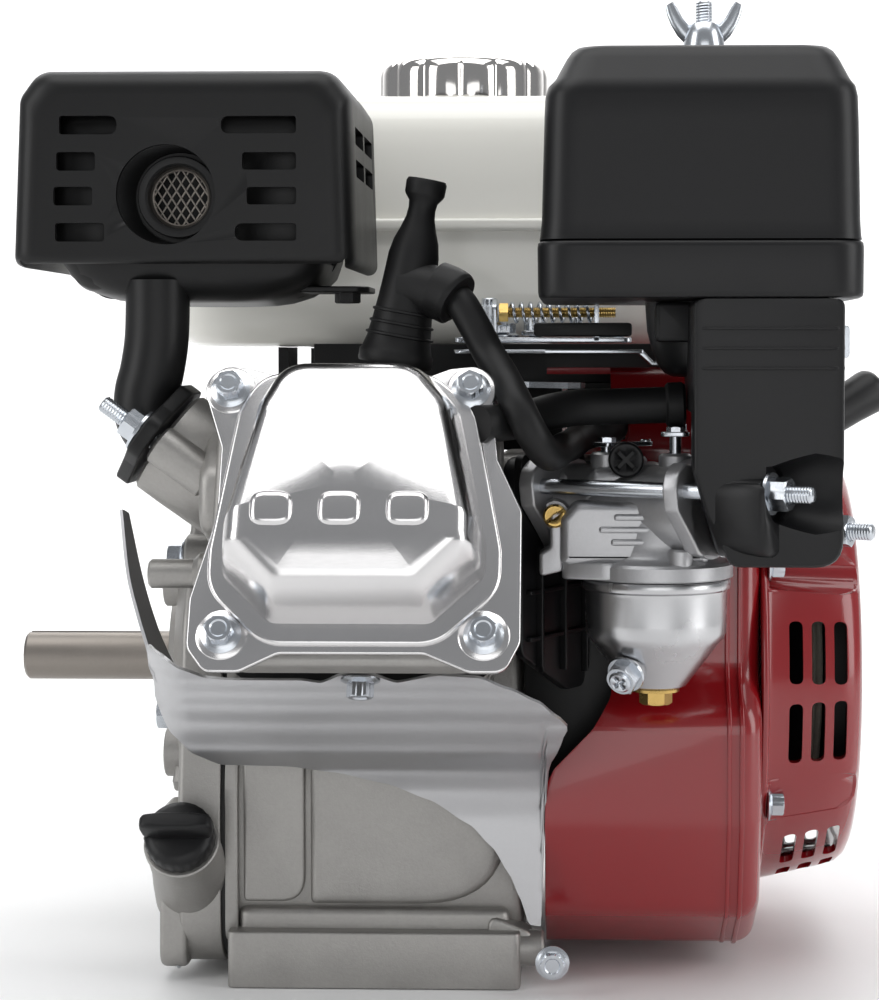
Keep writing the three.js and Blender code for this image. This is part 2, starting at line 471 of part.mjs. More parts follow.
function connectingRod() {
  const big = barIn(CYLINDER, [-9, 0, STROKE / 2], [9, 0, STROKE / 2], 20, 28);
  const small = barIn(CYLINDER, [-9.5, 0, PIN_AT], [9.5, 0, PIN_AT], 13, 24);
  const beam = prism(CYLINDER, rounded(rectangle(-5, -8, 5, 8), 2), STROKE / 2 + 14, PIN_AT - 9);
  return cut(join(big, small, beam), barIn(CYLINDER, [-12, 0, PIN_AT], [12, 0, PIN_AT], 9.4, 20));
}
piece("connecting_rod", connectingRod(), "cast");

// ---------------------------------------------------------------- exhaust
function mufflerShield() {
  const { left, right, front, back, bottom, top } = MUFFLER;
  const outline = [[left - 1, bottom], [right + 2, bottom], [right, top - 8], [right - 6, top], [left + 8, top],
    [left + 2, top - 8]];
  const shell = prism(FRONT, rounded(outline, 5), -back, -front, 5);
  const inner = prism(FRONT, rounded([[left + 1, bottom - 9], [right, bottom - 9], [right - 2, top - 9],
    [right - 7, top - 2], [left + 9, top - 2], [left + 4, top - 9]], 4), -back - 8, -front - 2);
  const hole = barIn(FRONT, [-65, 278, 120], [-65, 278, 150], 16.6, 32);
  const slotRows = [[301, -98], [289, -99], [277.5, -99], [265.5, -99]].map(([z, x]) =>
    prism(FRONT, rounded(rectangle(x - 3, z - 2.8, x + 15, z + 2.8), 2.6), 130, 150));
  const slotsRight = [301, 289, 277.5, 265.5].map((z, i) =>
    prism(FRONT, rounded(rectangle(i === 0 ? -46 : -39, z - 2.8, -21, z + 2.8), 2.6), 130, 150));
  const slotsSide = [288, 299].flatMap((z) => [-122, -88].map((y) =>
    prism(SIDE, rounded(rectangle(y, z - 3, y + 29, z + 3), 2.8), -12, 4)));
  return cut(shell, inner, hole, ...slotRows, ...slotsRight, ...slotsSide);
}
piece("muffler_shield", mufflerShield(), "heatBlack");

const PIPE_PATH = [[-69.3, -125, 197.3], [-73, -125, 200], [-75, -125, 207], [-73, -125, 217],
  [-70.5, -125, 230], [-70.5, -125, 250]];
function mufflerBody() {
  const can = prism(FRONT, rounded([[-108, 262], [-96, 246], [-26, 246], [-14, 256], [-14, 300], [-24, 311],
    [-98, 311], [-108, 300]], 10), 50, 132, 8);
  const hollow = prism(FRONT, rounded([[-104, 264], [-94, 250], [-28, 250], [-18, 258], [-18, 298], [-26, 307],
    [-96, 307], [-104, 298]], 8), 54, 128, 7);
  const pipe = swept(PIPE_PATH, 10.8, 24, 12);
  const flange = prism(EXHAUST_FRAME, rounded([[-28, -6], [-20, -11], [-10, -19], [10, -19], [20, -11], [28, -6],
    [28, 6], [20, 11], [10, 19], [-10, 19], [-20, 11], [-28, 6]], 6), 0.6, 6);
  const outlet = barIn(FRONT, [OUTLET.x, OUTLET.z, 126], [OUTLET.x, OUTLET.z, 137.4], OUTLET.r, 32);
  const outletBore = barIn(FRONT, [OUTLET.x, OUTLET.z, 120], [OUTLET.x, OUTLET.z, 140], OUTLET.bore, 32);
  const pipeBore = swept([[-66, -125, 194.9], ...PIPE_PATH, [-70.5, -125, 256]], 8.4, 16, 16);
  const tab = box(-40, 1, -118, -86, 245.4, 248.4);
  const holes = [-20, 20].map((t) => barIn(EXHAUST_FRAME, [t, 0, 0], [t, 0, 7], 3.3, 12));
  return cut(join(can, pipe, flange, outlet, tab), hollow, outletBore, pipeBore, ...holes);
}
piece("muffler_body", mufflerBody(), "heatBlack");

function sparkArrestor() {
  const at = [OUTLET.x, OUTLET.z];
  const rim = cut(barIn(FRONT, [...at, 130], [...at, 132], 10, 24), barIn(FRONT, [...at, 129], [...at, 133], 8.6, 24));
  const wires = [-4, 0, 4].flatMap((d) => [
    box(at[0] + d - 0.4, at[0] + d + 0.4, -131.3, -130.7, at[1] - 8.9 + Math.abs(d) / 3, at[1] + 8.9 - Math.abs(d) / 3),
    box(at[0] - 8.9 + Math.abs(d) / 3, at[0] + 8.9 - Math.abs(d) / 3, -131.3, -130.7, at[1] + d - 0.4, at[1] + d + 0.4),
  ]);
  return join(rim, ...wires);
}
piece("spark_arrestor", sparkArrestor(), "plated");
[["front", -20], ["rear", 20]].forEach(([where, t]) => {
  const rod = barIn(EXHAUST_FRAME, [t, 0, -12], [t, 0, 22], 3, 12);
  const nut = barIn(EXHAUST_FRAME, [t, 0, 6.4], [t, 0, 12], 6.6, 6);
  piece(`exhaust_stud_${where}`, join(rod, nut), "plated");
});

// ---------------------------------------------------------------- fuel tank and cap
const TANK_OUTLINE = rounded(rectangle(TANK.left, TANK.front, TANK.right, TANK.back), 26, 4);
const inset = (d, r) => rounded(rectangle(TANK.left + d, TANK.front + d, TANK.right - d, TANK.back - d), r, 4);
function tankUpper() {
  const { seam, top, wall } = TANK;
  const shell = prism(UPRIGHT, TANK_OUTLINE, seam - 20, top, 12, 3);
  const keep = box(-200, 200, -200, 200, seam + GAP / 2, top + 20);
  const rim = prism(UPRIGHT, rounded(rectangle(TANK.left - 4, TANK.front - 3, TANK.right + 4, TANK.back + 4), 28, 4),
    seam + GAP / 2, seam + 2);
  const neck = bar([FILLER.x, FILLER.y, top - 10], [FILLER.x, FILLER.y, top + 4], FILLER.r, 32);
  const hollow = prism(UPRIGHT, inset(wall, 24), seam - 20, top - wall, 10, 3);
  const way = bar([FILLER.x, FILLER.y, top - 20], [FILLER.x, FILLER.y, top + 9], FILLER.r - 3, 32);
  return cut(join(shell.intersect(keep), rim, neck), hollow, way);
}
function tankLower() {
  const { bottom, seam, wall } = TANK;
  const shell = prism(UPRIGHT, TANK_OUTLINE, bottom, seam + 20, 10, 3);
  const keep = box(-200, 200, -200, 200, bottom - 5, seam - GAP / 2);
  const rim = prism(UPRIGHT, rounded(rectangle(TANK.left - 4, TANK.front - 3, TANK.right + 4, TANK.back + 4), 28, 4),
    seam - 2, seam - GAP / 2);
  const hollow = prism(UPRIGHT, inset(wall, 24), bottom + wall, seam + 20, 8, 3);
  const outlet = bar([96, 4, bottom - 5], [96, 4, bottom + 6], 5, 16);
  const outletBore = bar([96, 4, bottom - 6], [96, 4, bottom + 8], 3, 12);
  return cut(join(shell.intersect(keep), rim, outlet), hollow, outletBore);
}
piece("fuel_tank_upper", tankUpper(), "ivory");
piece("fuel_tank_lower", tankLower(), "ivory");

const CAP_LUGS = 10;
function fuelCap() {
  const outline = [];
  for (let i = 0; i < CAP_LUGS * 4; i += 1) {
    const a = (2 * Math.PI * i) / (CAP_LUGS * 4);
    const r = 35 + Math.cos(CAP_LUGS * a);
    outline.push([FILLER.x + r * Math.cos(a), FILLER.y + r * Math.sin(a)]);
  }
  const skirt = prism(UPRIGHT, outline, TANK.top + 0.6, 347, 2, 1);
  const inside = bar([FILLER.x, FILLER.y, TANK.top - 1], [FILLER.x, FILLER.y, 340], FILLER.r + 1, 32);
  return cut(skirt, inside);
}
piece("fuel_cap", fuelCap(), "plated");
piece("tank_bracket", join(box(-40, 36, 6, 28, 184.4, 200), box(-46, 44, 2, 32, 199, 203),
  box(-46, -42, 2, 32, 203, 227.7), box(40, 44, 2, 32, 203, 227.7),
  cut(box(-40, 36, 50, 72, 158, 203), box(-50, 50, 40, 80, 150, 182)), box(-46, 44, 28, 120, 199, 203),
  box(-46, 44, 114, 118, 202, 227.7)), "heatBlack");

// ---------------------------------------------------------------- fan cover and recoil starter
const FAN_OUTLINE = [[-58, 8], [-88, 26], [-100, 60], [-100, 98], [-85, 112], [-85, 196], [-62, 220], [30, 220],
  [74, 190], [100, 146], [104, 106], [94, 48], [60, 8]];
function shrink(points, d, cy = 2, cz = 112) {
  return points.map(([y, z]) => {
    const r = Math.hypot(y - cy, z - cz);
    return [cy + ((y - cy) * (r - d)) / r, cz + ((z - cz) * (r - d)) / r];
  });
}
function fanCover() {
  const shell = prism(SIDE, rounded(FAN_OUTLINE, 14, 3), FAN.left, FAN.right, 6, 2);
  const square = prism(SIDE, rounded(FAN_OUTLINE, 14, 3), FAN.left, FAN.left + 8);
  const inside = prism(SIDE, rounded(shrink(FAN_OUTLINE, 4), 12, 3), FAN.left - 1, FAN.right - FAN.wall, 4, 2);
  const insideFoot = prism(SIDE, rounded(shrink(FAN_OUTLINE, 4), 12, 3), FAN.left - 1, FAN.left + 10);
  const mouth = disc(FAN.right - 10, FAN.right + 1, 70, 40);
  const notch = prism(FRONT, [[50, 74.4], [61.2, 74.4], [63.7, 79.6], [77.3, 93.6], [83.9, 104.4], [83.9, 240],
    [50, 240]], 50, 120);
  const grommet = bar([82.5, -92, 197.4], [85, -58, 200.5], 7.4, 20);
  return cut(join(shell, square), inside, insideFoot, mouth, notch, grommet);
}
piece("fan_cover", fanCover(), "red");

const starter = frameAt([0, 0, CRANK_Z], [1, 0, 0], [0, 1, 0]);
function recoilCover() {
  const { left, face, radius, faceRadius, wall } = RECOIL;
  const shell = turned(starter, [[0, left], [radius, left], [radius, left + 4], [faceRadius + 4, face - 8],
    [faceRadius, face - 2], [faceRadius - 6, face], [0, face]], 48);
  const inside = turned(starter, [[0, left - 1], [radius - wall, left - 1], [radius - wall, left + 4],
    [faceRadius + 1, face - 8], [faceRadius - 8, face - wall], [0, face - wall]], 48);
  const post = disc(left + 6, face - 1, 8, 20);
  const slots = [];
  for (let i = 0; i < 16; i += 1) {
    const angle = (2 * Math.PI * i) / 16;
    const turn = new THREE.Matrix4().makeTranslation(0, 0, CRANK_Z).multiply(new THREE.Matrix4().makeRotationX(angle));
    if (i % 4 !== 1) slots.push(box(148, 165, -5, 5, 70, 95).transform(turn.elements));
  }
  const faceSlots = Array.from({ length: 8 }, (_, i) => {
    const turn = new THREE.Matrix4().makeTranslation(0, 0, CRANK_Z).multiply(
      new THREE.Matrix4().makeRotationX((2 * Math.PI * i) / 8));
    return box(168, 180, -3.5, 3.5, 26, 58).transform(turn.elements);
  });
  const ropeWay = bar([149, -40, 150], [149, -82, 186], 7, 16);
  return join(cut(shell, inside, ...slots, ...faceSlots, ropeWay), post);
}
piece("recoil_cover", recoilCover(), "red");

function starterPulley() {
  const sheave = turned(starter, [[0, 145], [52, 145], [52, 147], [44, 149.5], [52, 156], [52, 158], [0, 158]], 40);
  return cut(sheave, disc(140, 165, 9.8, 20));
}
piece("starter_pulley", starterPulley(), "black");
const GRIP = { at: [155, -83, 195], along: [0.8, 0.4, 0.45], pull: [0.8, 0, 0.6] };
function starterHandle() {
  const along = new THREE.Vector3(...GRIP.along).normalize();
  const at = new THREE.Vector3(...GRIP.at);
  const ends = [-30, 30].map((d) => at.clone().addScaledVector(along, d).toArray());
  const stem = new THREE.Vector3(...GRIP.pull).normalize();
  const root = at.clone().addScaledVector(stem, -12).toArray();
  return join(bar(ends[0], ends[1], 8, 20), bar(root, at.toArray(), 5.5, 16));
}
piece("starter_handle", starterHandle(), "black");
piece("ignition_coil", join(box(68, 90, -30, 8, 192.6, 214), box(72, 86, -44, 22, 194, 200)), "black");

// ---------------------------------------------------------------- spark plug, cap and lead
function sparkPlug() {
  return join(
    turned(PLUG, [[0, -20], [5.2, -20], [5.2, 0.5], [0, 0.5]], 16),
    turned(PLUG, [[0, 0], [11.5, 0], [11.5, 8], [0, 8]], 6),
    turned(PLUG, [[0, 7], [7.5, 7], [5, 12], [5, 34], [3, 36], [3, 41], [0, 41]], 16),
  );
}
piece("spark_plug", sparkPlug(), "plated");
function plugCap() {
  const body = turned(PLUG, [[0, 9.2], [12, 9.2], [12, 14], [9.5, 24], [8.5, 48], [6, 56], [4.5, 62], [6.8, 68],
    [6.8, 73], [0, 73]], 24);
  const arm = bar([17, -124.5, 246], [29, -129, 243.5], 8.5, 20);
  const inside = turned(PLUG, [[0, 8], [8.2, 8], [8.2, 14], [5.6, 16], [5.6, 43], [0, 43]], 16);
  return cut(join(body, arm), inside);
}
piece("spark_plug_cap", plugCap(), "rubber");
const LEAD = [[31.4, -129.9, 243], [35.6, -132.4, 240], [40.5, -134.5, 231], [46, -137, 221.5], [51.5, -143.5, 216],
  [56, -156, 207], [60.5, -156, 197.5], [64.5, -143, 191.8], [67.5, -124, 193.2], [70, -108, 194],
  [74, -95, 196.5], [81, -86, 198], [84.5, -76, 198.5], [84, -60, 200.5], [81, -45, 206]];
piece("spark_lead", swept(LEAD, 5.5, 16, 36), "rubber");

// ---------------------------------------------------------------- carburettor
function insulator() {
  const plate = prism(PORT, rounded([[-25, -12], [-25, 18], [21, 18], [21, -66], [8, -66], [-25, -50]], 4, 2),
    -98.6, -95.4);
  const block = prism(PORT, rounded(rectangle(-25, -17, 25, 17), 10), PORT_FACE + GAP, -98);
  const bore = turned(PORT, [[0, -113], [9, -113], [9, -95], [0, -95]], 20);
  const holes = [-1, 1].map((side) => barIn(PORT, [side * STUD.t, side * STUD.h, -113],
    [side * STUD.t, side * STUD.h, -95], 3.4, 12));
  return cut(join(plate, block), bore, ...holes);
}
const STUDS = [["front", -STUD.t, -STUD.h], ["rear", STUD.t, STUD.h]];
piece("carb_insulator", insulator(), "black");
const SCREW_SPOT = { x: 88.2, y: -128, z: 189.3 };
function carburettorBody() {
  const throat = turned(PORT, [[0, -95], [14, -95], [13, -70], [16.5, -45], [16.5, -35.8], [0, -35.8]], 28);
  const ears = (low, high) => join(...STUDS.map(([, t, h]) => barIn(PORT, [t, h, low], [t, h, high], 7.5, 16)),
    prism(PORT, [[-21, 14.7], [-3, 15.5], [21, -0.5], [21, -14.5], [3, -15.5], [-21, 0.5]], low, high));
  const flange = ears(-95, -89);
  const airFlange = ears(-41.5, -35.8);
  const bowlSeat = bar([BOWL.x, BOWL.y, BOWL.top + GAP], [BOWL.x, BOWL.y, 155], 26, 32);
  const well = bar([BOWL.x, BOWL.y, 152], [BOWL.x, BOWL.y, 172], 17, 24, 13);
  const tower = box(84, 94, -121, -113, 168, 190.5);
  const inletPipe = barIn(PORT, [6, -10, -62], [26, -10, -62], 5, 16);
  const shaftBosses = [-76, -50].map((s) => barIn(PORT, [0, 4, s], [0, 18, s], 5.5, 16));
  const bore = turned(PORT, [[0, -96], [9, -96], [8, -66], [11, -35], [0, -35]], 24);
  const holes = STUDS.map(([, t, h]) => barIn(PORT, [t, h, -97], [t, h, -30], 3.2, 12));
  const shafts = [-76, -50].map((s) => barIn(PORT, [0, 12, s], [0, 23, s], 2.7, 12));
  const screwHoles = [barAlongY(SCREW_SPOT.x, SCREW_SPOT.z, -122, -116, 2.3), barAlongY(64.2, 170.6, -130, -112, 2.3)];
  const pilotBoss = barAlongY(64.2, 170.6, -122, -113, 5);
  const screwRoom = barAlongY(SCREW_SPOT.x, SCREW_SPOT.z, -145, -121.1, 6.8);
  return cut(join(throat, flange, airFlange, bowlSeat, well, tower, inletPipe, ...shaftBosses, pilotBoss), bore,
    screwRoom, ...holes, ...shafts, ...screwHoles);
}
function barAlongY(x, z, y0, y1, r) {
  return bar([x, y0, z], [x, y1, z], r, 14);
}
piece("carburettor_body", carburettorBody(), "cast");
function floatBowl() {
  const at = new THREE.Matrix4().makeTranslation(BOWL.x, BOWL.y, 0);
  const outer = turned(at, [[0, 111], [9, 111], [BOWL.r - 6, BOWL.bottom - 6], [BOWL.r, BOWL.bottom], [BOWL.r, 145.6],
    [25.4, 145.8], [25.4, BOWL.top], [0, BOWL.top]], 36);
  const inner = turned(at, [[0, 113], [8, 113], [BOWL.r - 8, BOWL.bottom - 5], [BOWL.r - 2, BOWL.bottom + 1],
    [BOWL.r - 2, BOWL.top + 1], [0, BOWL.top + 1]], 36);
  const hole = bar([BOWL.x, BOWL.y, 108], [BOWL.x, BOWL.y, 116], 3.4, 12);
  return cut(outer, inner, hole);
}
piece("float_bowl", floatBowl(), "bright");
piece("bowl_bolt", join(bar([BOWL.x, BOWL.y, 105], [BOWL.x, BOWL.y, 110.6], 6, 6),
  bar([BOWL.x, BOWL.y, 110], [BOWL.x, BOWL.y, 148], 3, 12)), "brass");
piece("throttle_stop_screw", join(barAlongY(SCREW_SPOT.x, SCREW_SPOT.z, -127, -121.4, 6),
  barAlongY(SCREW_SPOT.x, SCREW_SPOT.z, -122, -116.6, 2)), "black");
STUDS.forEach(([where, t, h]) => {
  const rod = barIn(PORT, [t, h, -112.6], [t, h, 12], 2.7, 12);
  const nut = join(barIn(PORT, [t, h, -2], [t, h, 4.5], 6.4, 6), barIn(PORT, [t, h, -2.6], [t, h, -1.6], 7.6, 20));
  piece(`carb_stud_${where}`, join(rod, nut), "plated");
});

function leverArm(s, reach, angle, height, pinTop) {
  const a = THREE.MathUtils.degToRad(angle);
  const tip = [reach * Math.sin(a), height, s + reach * Math.cos(a)];
  return join(barIn(PORT, [0, 12.8, s], [0, height + 1, s], 2, 12), barIn(PORT, [0, height - 1.5, s],
    [0, height + 2, s], 5.5, 16), barIn(PORT, [0, height, s], tip, 1.9, 8),
  barIn(PORT, [tip[0], height - 2, tip[2]], [tip[0], pinTop, tip[2]], 2.4, 8));
}
piece("throttle_lever", leverArm(-76, 16, 60, 21, 22.5), "plated");
piece("choke_lever", leverArm(-50, 20, 110, 25, 28), "plated");
const VALVE_TIP = new THREE.Vector3(26.4, -10, -62).applyMatrix4(PORT);
const VALVE_FRAME = PORT.clone().setPosition(...VALVE_TIP.toArray());
piece("fuel_valve_lever", join(barIn(VALVE_FRAME, [0, 0, 0], [4, 0, 0], 7, 20),
  box(1, 3.8, 0, 18.5, -3, 3, VALVE_FRAME)), "black");

// ---------------------------------------------------------------- air cleaner
function elbow() {
  const column = prism(FRONT, rounded([[109, 176], [157, 176], [157, CLEANER.floor - GAP], [109, CLEANER.floor - GAP]],
    3), 104, 165, 2);
  const slant = box(-60, 60, -60, 34, -110, -35.4, PORT);
  const foot = prism(PORT, rounded([[-31, -14], [31, -14], [31, 22], [-31, 22]], 9), -35.4, -3);
  const belly = bar([115, -108, 217], [115, -108, CLEANER.floor - GAP], 12, 28, 20);
  const chamber = prism(FRONT, rectangle(112, 179, 154, 240), 107, 162);
  const duct = turned(PORT, [[0, -37], [11, -37], [12, -12], [0, -12]], 24);
  const bellyInside = bar([115, -108, 220], [115, -108, 240.2], 9, 24, 17);
  const mouth = bar([115, -108, 239], [115, -108, 246], 15, 28);
  const holes = STUDS.map(([, t, h]) => barIn(PORT, [t, h, -37], [t, h, 20], 3.3, 12));
  const recess = STUDS.map(([, t, h]) => barIn(PORT, [t, h, -3], [t, h, 60], 9.5, 20));
  const riser = turned(PORT, [[0, -24], [11.5, -24], [11.5, -12], [0, -12]], 20);
  return cut(join(cut(column, slant), foot, belly), chamber, duct, bellyInside, mouth, riser, ...recess, ...holes);
}
piece("air_cleaner_elbow", elbow(), "black");
const CASE_OUTLINE = (d) => rounded(rectangle(CLEANER.left + d, CLEANER.front + d, CLEANER.right - d,
  CLEANER.back - d), 12, 3);
function cleanerCase() {
  const tray = prism(UPRIGHT, CASE_OUTLINE(-1.2), CLEANER.floor, CLEANER.rim);
  const inside = prism(UPRIGHT, CASE_OUTLINE(1.6), CLEANER.floor + 2.5, CLEANER.rim + 1);
  return cut(tray, inside, bar([115, -108, 240], [115, -108, 250], 15, 28));
}
piece("air_cleaner_case", cleanerCase(), "black");
function cleanerCover() {
  const { rim, top } = CLEANER;
  const body = join(prism(UPRIGHT, CASE_OUTLINE(-1.2), rim + GAP, rim + 6),
    prism(UPRIGHT, CASE_OUTLINE(0), rim + GAP, 312));
  const roof = roofBlock(0, 310, top);
  const inner = join(prism(UPRIGHT, CASE_OUTLINE(2.5), rim - 1, 309), roofBlock(3, 308, top - 2.5));
  return cut(join(body, roof), inner, bar([115, -108, top - 10], [115, -108, top + 5], 3.6, 16));
}
function roofBlock(d, z0, z1) {
  const frames = prism(UPRIGHT, CASE_OUTLINE(d), z0, z1);
  const slopeX = prism(FRONT, [[CLEANER.left + d - 1, z0 - 1], [CLEANER.right - d + 1, z0 - 1],
    [CLEANER.right - d, z0 + 1], [155 - d, z1], [70 + d, z1], [CLEANER.left + d, z0 + 1]], 40, 180);
  const slopeY = prism(SIDE, [[CLEANER.front + d - 1, z0 - 1], [CLEANER.back - d + 1, z0 - 1],
    [CLEANER.back - d, z0 + 1], [-59 - d, z1], [-156 + d, z1], [CLEANER.front + d, z0 + 1]], 50, 170);
  return frames.intersect(slopeX).intersect(slopeY);
}
piece("air_cleaner_cover", cleanerCover(), "black");
function filterElement() {
  const block = prism(UPRIGHT, rounded(rectangle(76, -152, 152, -62), 20, 4), 246, 305);
  return cut(block, prism(UPRIGHT, rounded(rectangle(94, -132, 136, -84), 12, 3), 240, 298),
    bar([115, -108, 290], [115, -108, 310], 3.6, 16));
}
piece("filter_element", filterElement(), "foam");
piece("air_cleaner_stud", bar([115, -108, 220.4], [115, -108, 346], 3, 16), "plated");
function wingNut() {
  const hub = turned(new THREE.Matrix4().makeTranslation(115, -108, 0), [[3.4, 325.4], [12, 325.4], [9, 328.5],
    [6.2, 330], [6.2, 338], [3.4, 338]], 24);
  const wings = [-1, 1].map((side) => prism(FRONT, rounded([[115 + side * 4.2, 331], [115 + side * 9, 333],
    [115 + side * 12.4, 345], [115 + side * 7.6, 345.6], [115 + side * 4.2, 337.5]], 2, 2), 106.4, 109.6));
  return join(hub, ...wings);
}
piece("wing_nut", wingNut(), "plated");
piece("breather_tube", swept(BREATHER, 6.2, 18, 16), "rubber");

// ---------------------------------------------------------------- governor and speed control
const GOVERNOR = { x: 40, y: -20 };
piece("governor_arm", join(bar([GOVERNOR.x, GOVERNOR.y, 172], [GOVERNOR.x, GOVERNOR.y, 219], 3, 14),
  prism(UPRIGHT, rounded([[33, -13], [33, -27], [52, -34], [70, -62], [76, -60], [58, -24]], 3), 212.4, 214.6)), "plated");
piece("control_bracket", join(box(40, 92, -46, -18, 229.4, 231.2), box(40, 42, -46, -18, 222, 246),
  box(78, 80, -48, -40, 230, 248)).subtract(
  bar([38, -43, 240.5], [90, -43, 240.5], 2.4, 12)), "plated");
piece("speed_screw", join(bar([42.4, -43, 240.5], [86, -43, 240.5], 1.8, 12), bar([76.6, -43, 240.5], [52, -43, 240.5], 4.2, 14)),
  "brass");
piece("control_lever", join(bar([56, -30, 231.6], [56, -30, 236], 6, 20),
  prism(UPRIGHT, rounded([[52, -28], [52, -33], [74, -37], [76, -33], [60, -26]], 2), 232, 234.4),
  bar([72, -34.6, 233], [72, -34.6, 239], 2, 10)), "plated");
const SWITCH = { y: -40, z: 203 };
piece("engine_switch", join(disc(FAN.right + GAP, FAN.right + 7, 9, 24, SWITCH.y, SWITCH.z),
  box(FAN.right + 6, FAN.right + 14, SWITCH.y - 2, SWITCH.y + 2, SWITCH.z - 7, SWITCH.z + 9)), "black");

export default engine;
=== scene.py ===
# %% [markdown]
# # A small gasoline engine, seen from its cylinder head
#
# An air-cooled single of this kind is an assembly of very different skins: rough die-cast aluminium, one bright
# die-cast valve cover, bent sheet metal, heat-proof black paint, glossy red and ivory enamel, moulded rubber and
# plastic, and zinc-plated fasteners. The lesson goes through them from the frame outwards. The fixed frame is the
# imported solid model; each looks piece stands for one or more of its nodes and moves with the same body.
# %% Kit and frame
import json
import math

import bmesh
import bpy
from mathutils import Matrix, Vector


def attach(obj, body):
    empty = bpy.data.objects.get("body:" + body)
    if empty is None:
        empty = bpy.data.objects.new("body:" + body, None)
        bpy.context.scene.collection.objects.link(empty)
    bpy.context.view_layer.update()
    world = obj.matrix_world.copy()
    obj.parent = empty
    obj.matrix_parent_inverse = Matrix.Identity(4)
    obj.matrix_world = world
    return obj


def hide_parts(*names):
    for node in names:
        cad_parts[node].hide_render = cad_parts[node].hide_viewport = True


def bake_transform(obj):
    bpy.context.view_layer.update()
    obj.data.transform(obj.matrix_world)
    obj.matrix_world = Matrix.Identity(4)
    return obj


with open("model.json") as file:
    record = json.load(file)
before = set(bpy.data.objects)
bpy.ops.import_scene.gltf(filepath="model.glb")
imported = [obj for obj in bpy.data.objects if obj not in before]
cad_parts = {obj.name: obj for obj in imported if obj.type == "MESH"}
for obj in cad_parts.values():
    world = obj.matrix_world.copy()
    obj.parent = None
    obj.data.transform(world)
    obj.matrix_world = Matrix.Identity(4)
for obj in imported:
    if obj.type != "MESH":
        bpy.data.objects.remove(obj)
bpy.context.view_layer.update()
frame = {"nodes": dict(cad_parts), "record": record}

# %% [markdown]
# ## Frames to draw in
# Engine parts are drawn where they are machined: the cylinder leans 25 degrees forward, the crankcase is drawn from
# its side, the carburettor stands turned on the inlet port. A matrix for each lets every outline be a plain 2-D
# drawing in millimetres. Drawing in world coordinates would bury the shapes under sines and cosines.
# %% Frames
MM = 0.001
CRANK_Z = 106
LEAN = math.radians(25)


def frame_at(origin, z_axis, x_axis):
    z = Vector(z_axis).normalized()
    y = z.cross(Vector(x_axis)).normalized()
    x = y.cross(z)
    made = Matrix((x, y, z)).transposed().to_4x4()
    made.translation = Vector(origin)
    return made


UPRIGHT = Matrix.Identity(4)
SIDE = frame_at((0, 0, 0), (1, 0, 0), (0, 1, 0))
FRONT = frame_at((0, 0, 0), (0, -1, 0), (1, 0, 0))
CYLINDER = frame_at((0, 0, CRANK_Z), (0, -math.cos(LEAN), math.sin(LEAN)), (1, 0, 0))
PORT = frame_at((149, -147.5, 173), (math.cos(math.radians(28)), -math.sin(math.radians(28)), 0),
                (math.sin(math.radians(28)), math.cos(math.radians(28)), 0))
EXHAUST = frame_at((-67.5, -125, 196), (-0.81, 0, 0.59), (0, 1, 0))
PLUG = frame_at((8, -123, 212), (0.177, 0, 0.984), (1, 0, 0))
print("cylinder points along", [round(c, 3) for c in CYLINDER.col[2][:3]])

# %% [markdown]
# ## Building by section, sweep and cut
# Castings are stacks of sections with rounded rims, turned parts are profiles round an axis, tubes are sections
# carried along a path. All three are the same loft: rings of points joined by quads. Openings are then cut with
# exact booleans and the fresh edges rounded by a narrow bevel, since a real edge always catches a line of light.
# %% Outlines
def rounded(points, radius, steps=6):
    """The closed outline with each corner turned into an arc; radius may be one number or one for each corner."""
    out = []
    n = len(points)
    for i, (x, y) in enumerate(points):
        r = radius[i] if isinstance(radius, (list, tuple)) else radius
        a = Vector(points[i - 1]) - Vector((x, y))
        b = Vector(points[(i + 1) % n]) - Vector((x, y))
        la, lb = a.length, b.length
        a, b = a / la, b / lb
        half = math.acos(max(-1.0, min(1.0, a.dot(b)))) / 2
        if r < 1e-6 or half > math.pi / 2 - 0.01:
            out.append((x, y))
            continue
        reach = min(r / math.tan(half), 0.48 * la, 0.48 * lb)
        p, q, c = Vector((x, y)) + a * reach, Vector((x, y)) + b * reach, Vector((x, y))
        for k in range(steps + 1):
            t = k / steps
            out.append(tuple(p * (1 - t) ** 2 + c * 2 * t * (1 - t) + q * t * t))
    return out


def rectangle(x0, y0, x1, y1):
    return [(x0, y0), (x1, y0), (x1, y1), (x0, y1)]


def circle(radius, cx=0, cy=0, sides=48):
    return [(cx + radius * math.cos(2 * math.pi * i / sides), cy + radius * math.sin(2 * math.pi * i / sides))
            for i in range(sides)]


def inset(points, distance):
    """The outline drawn in by a distance, each point along the bisector of its corner."""
    n = len(points)
    area = sum(points[i - 1][0] * points[i][1] - points[i][0] * points[i - 1][1] for i in range(n))
    sign = 1 if area > 0 else -1
    out = []
    for i in range(n):
        p, q, r = Vector(points[i - 1]), Vector(points[i]), Vector(points[(i + 1) % n])
        a, b = (q - p).normalized(), (r - q).normalized()
        na, nb = Vector((-a.y, a.x)) * sign, Vector((-b.y, b.x)) * sign
        m = (na + nb)
        if m.length < 1e-6:
            m = na
        m = m.normalized()
        out.append(tuple(q + m * (distance / max(0.45, m.dot(na)))))
    return out


# %% Solids
def shade(obj, angle=35):
    with bpy.context.temp_override(object=obj, active_object=obj, selected_editable_objects=[obj]):
        bpy.ops.object.shade_smooth_by_angle(angle=math.radians(angle), keep_sharp_edges=False)
    return obj


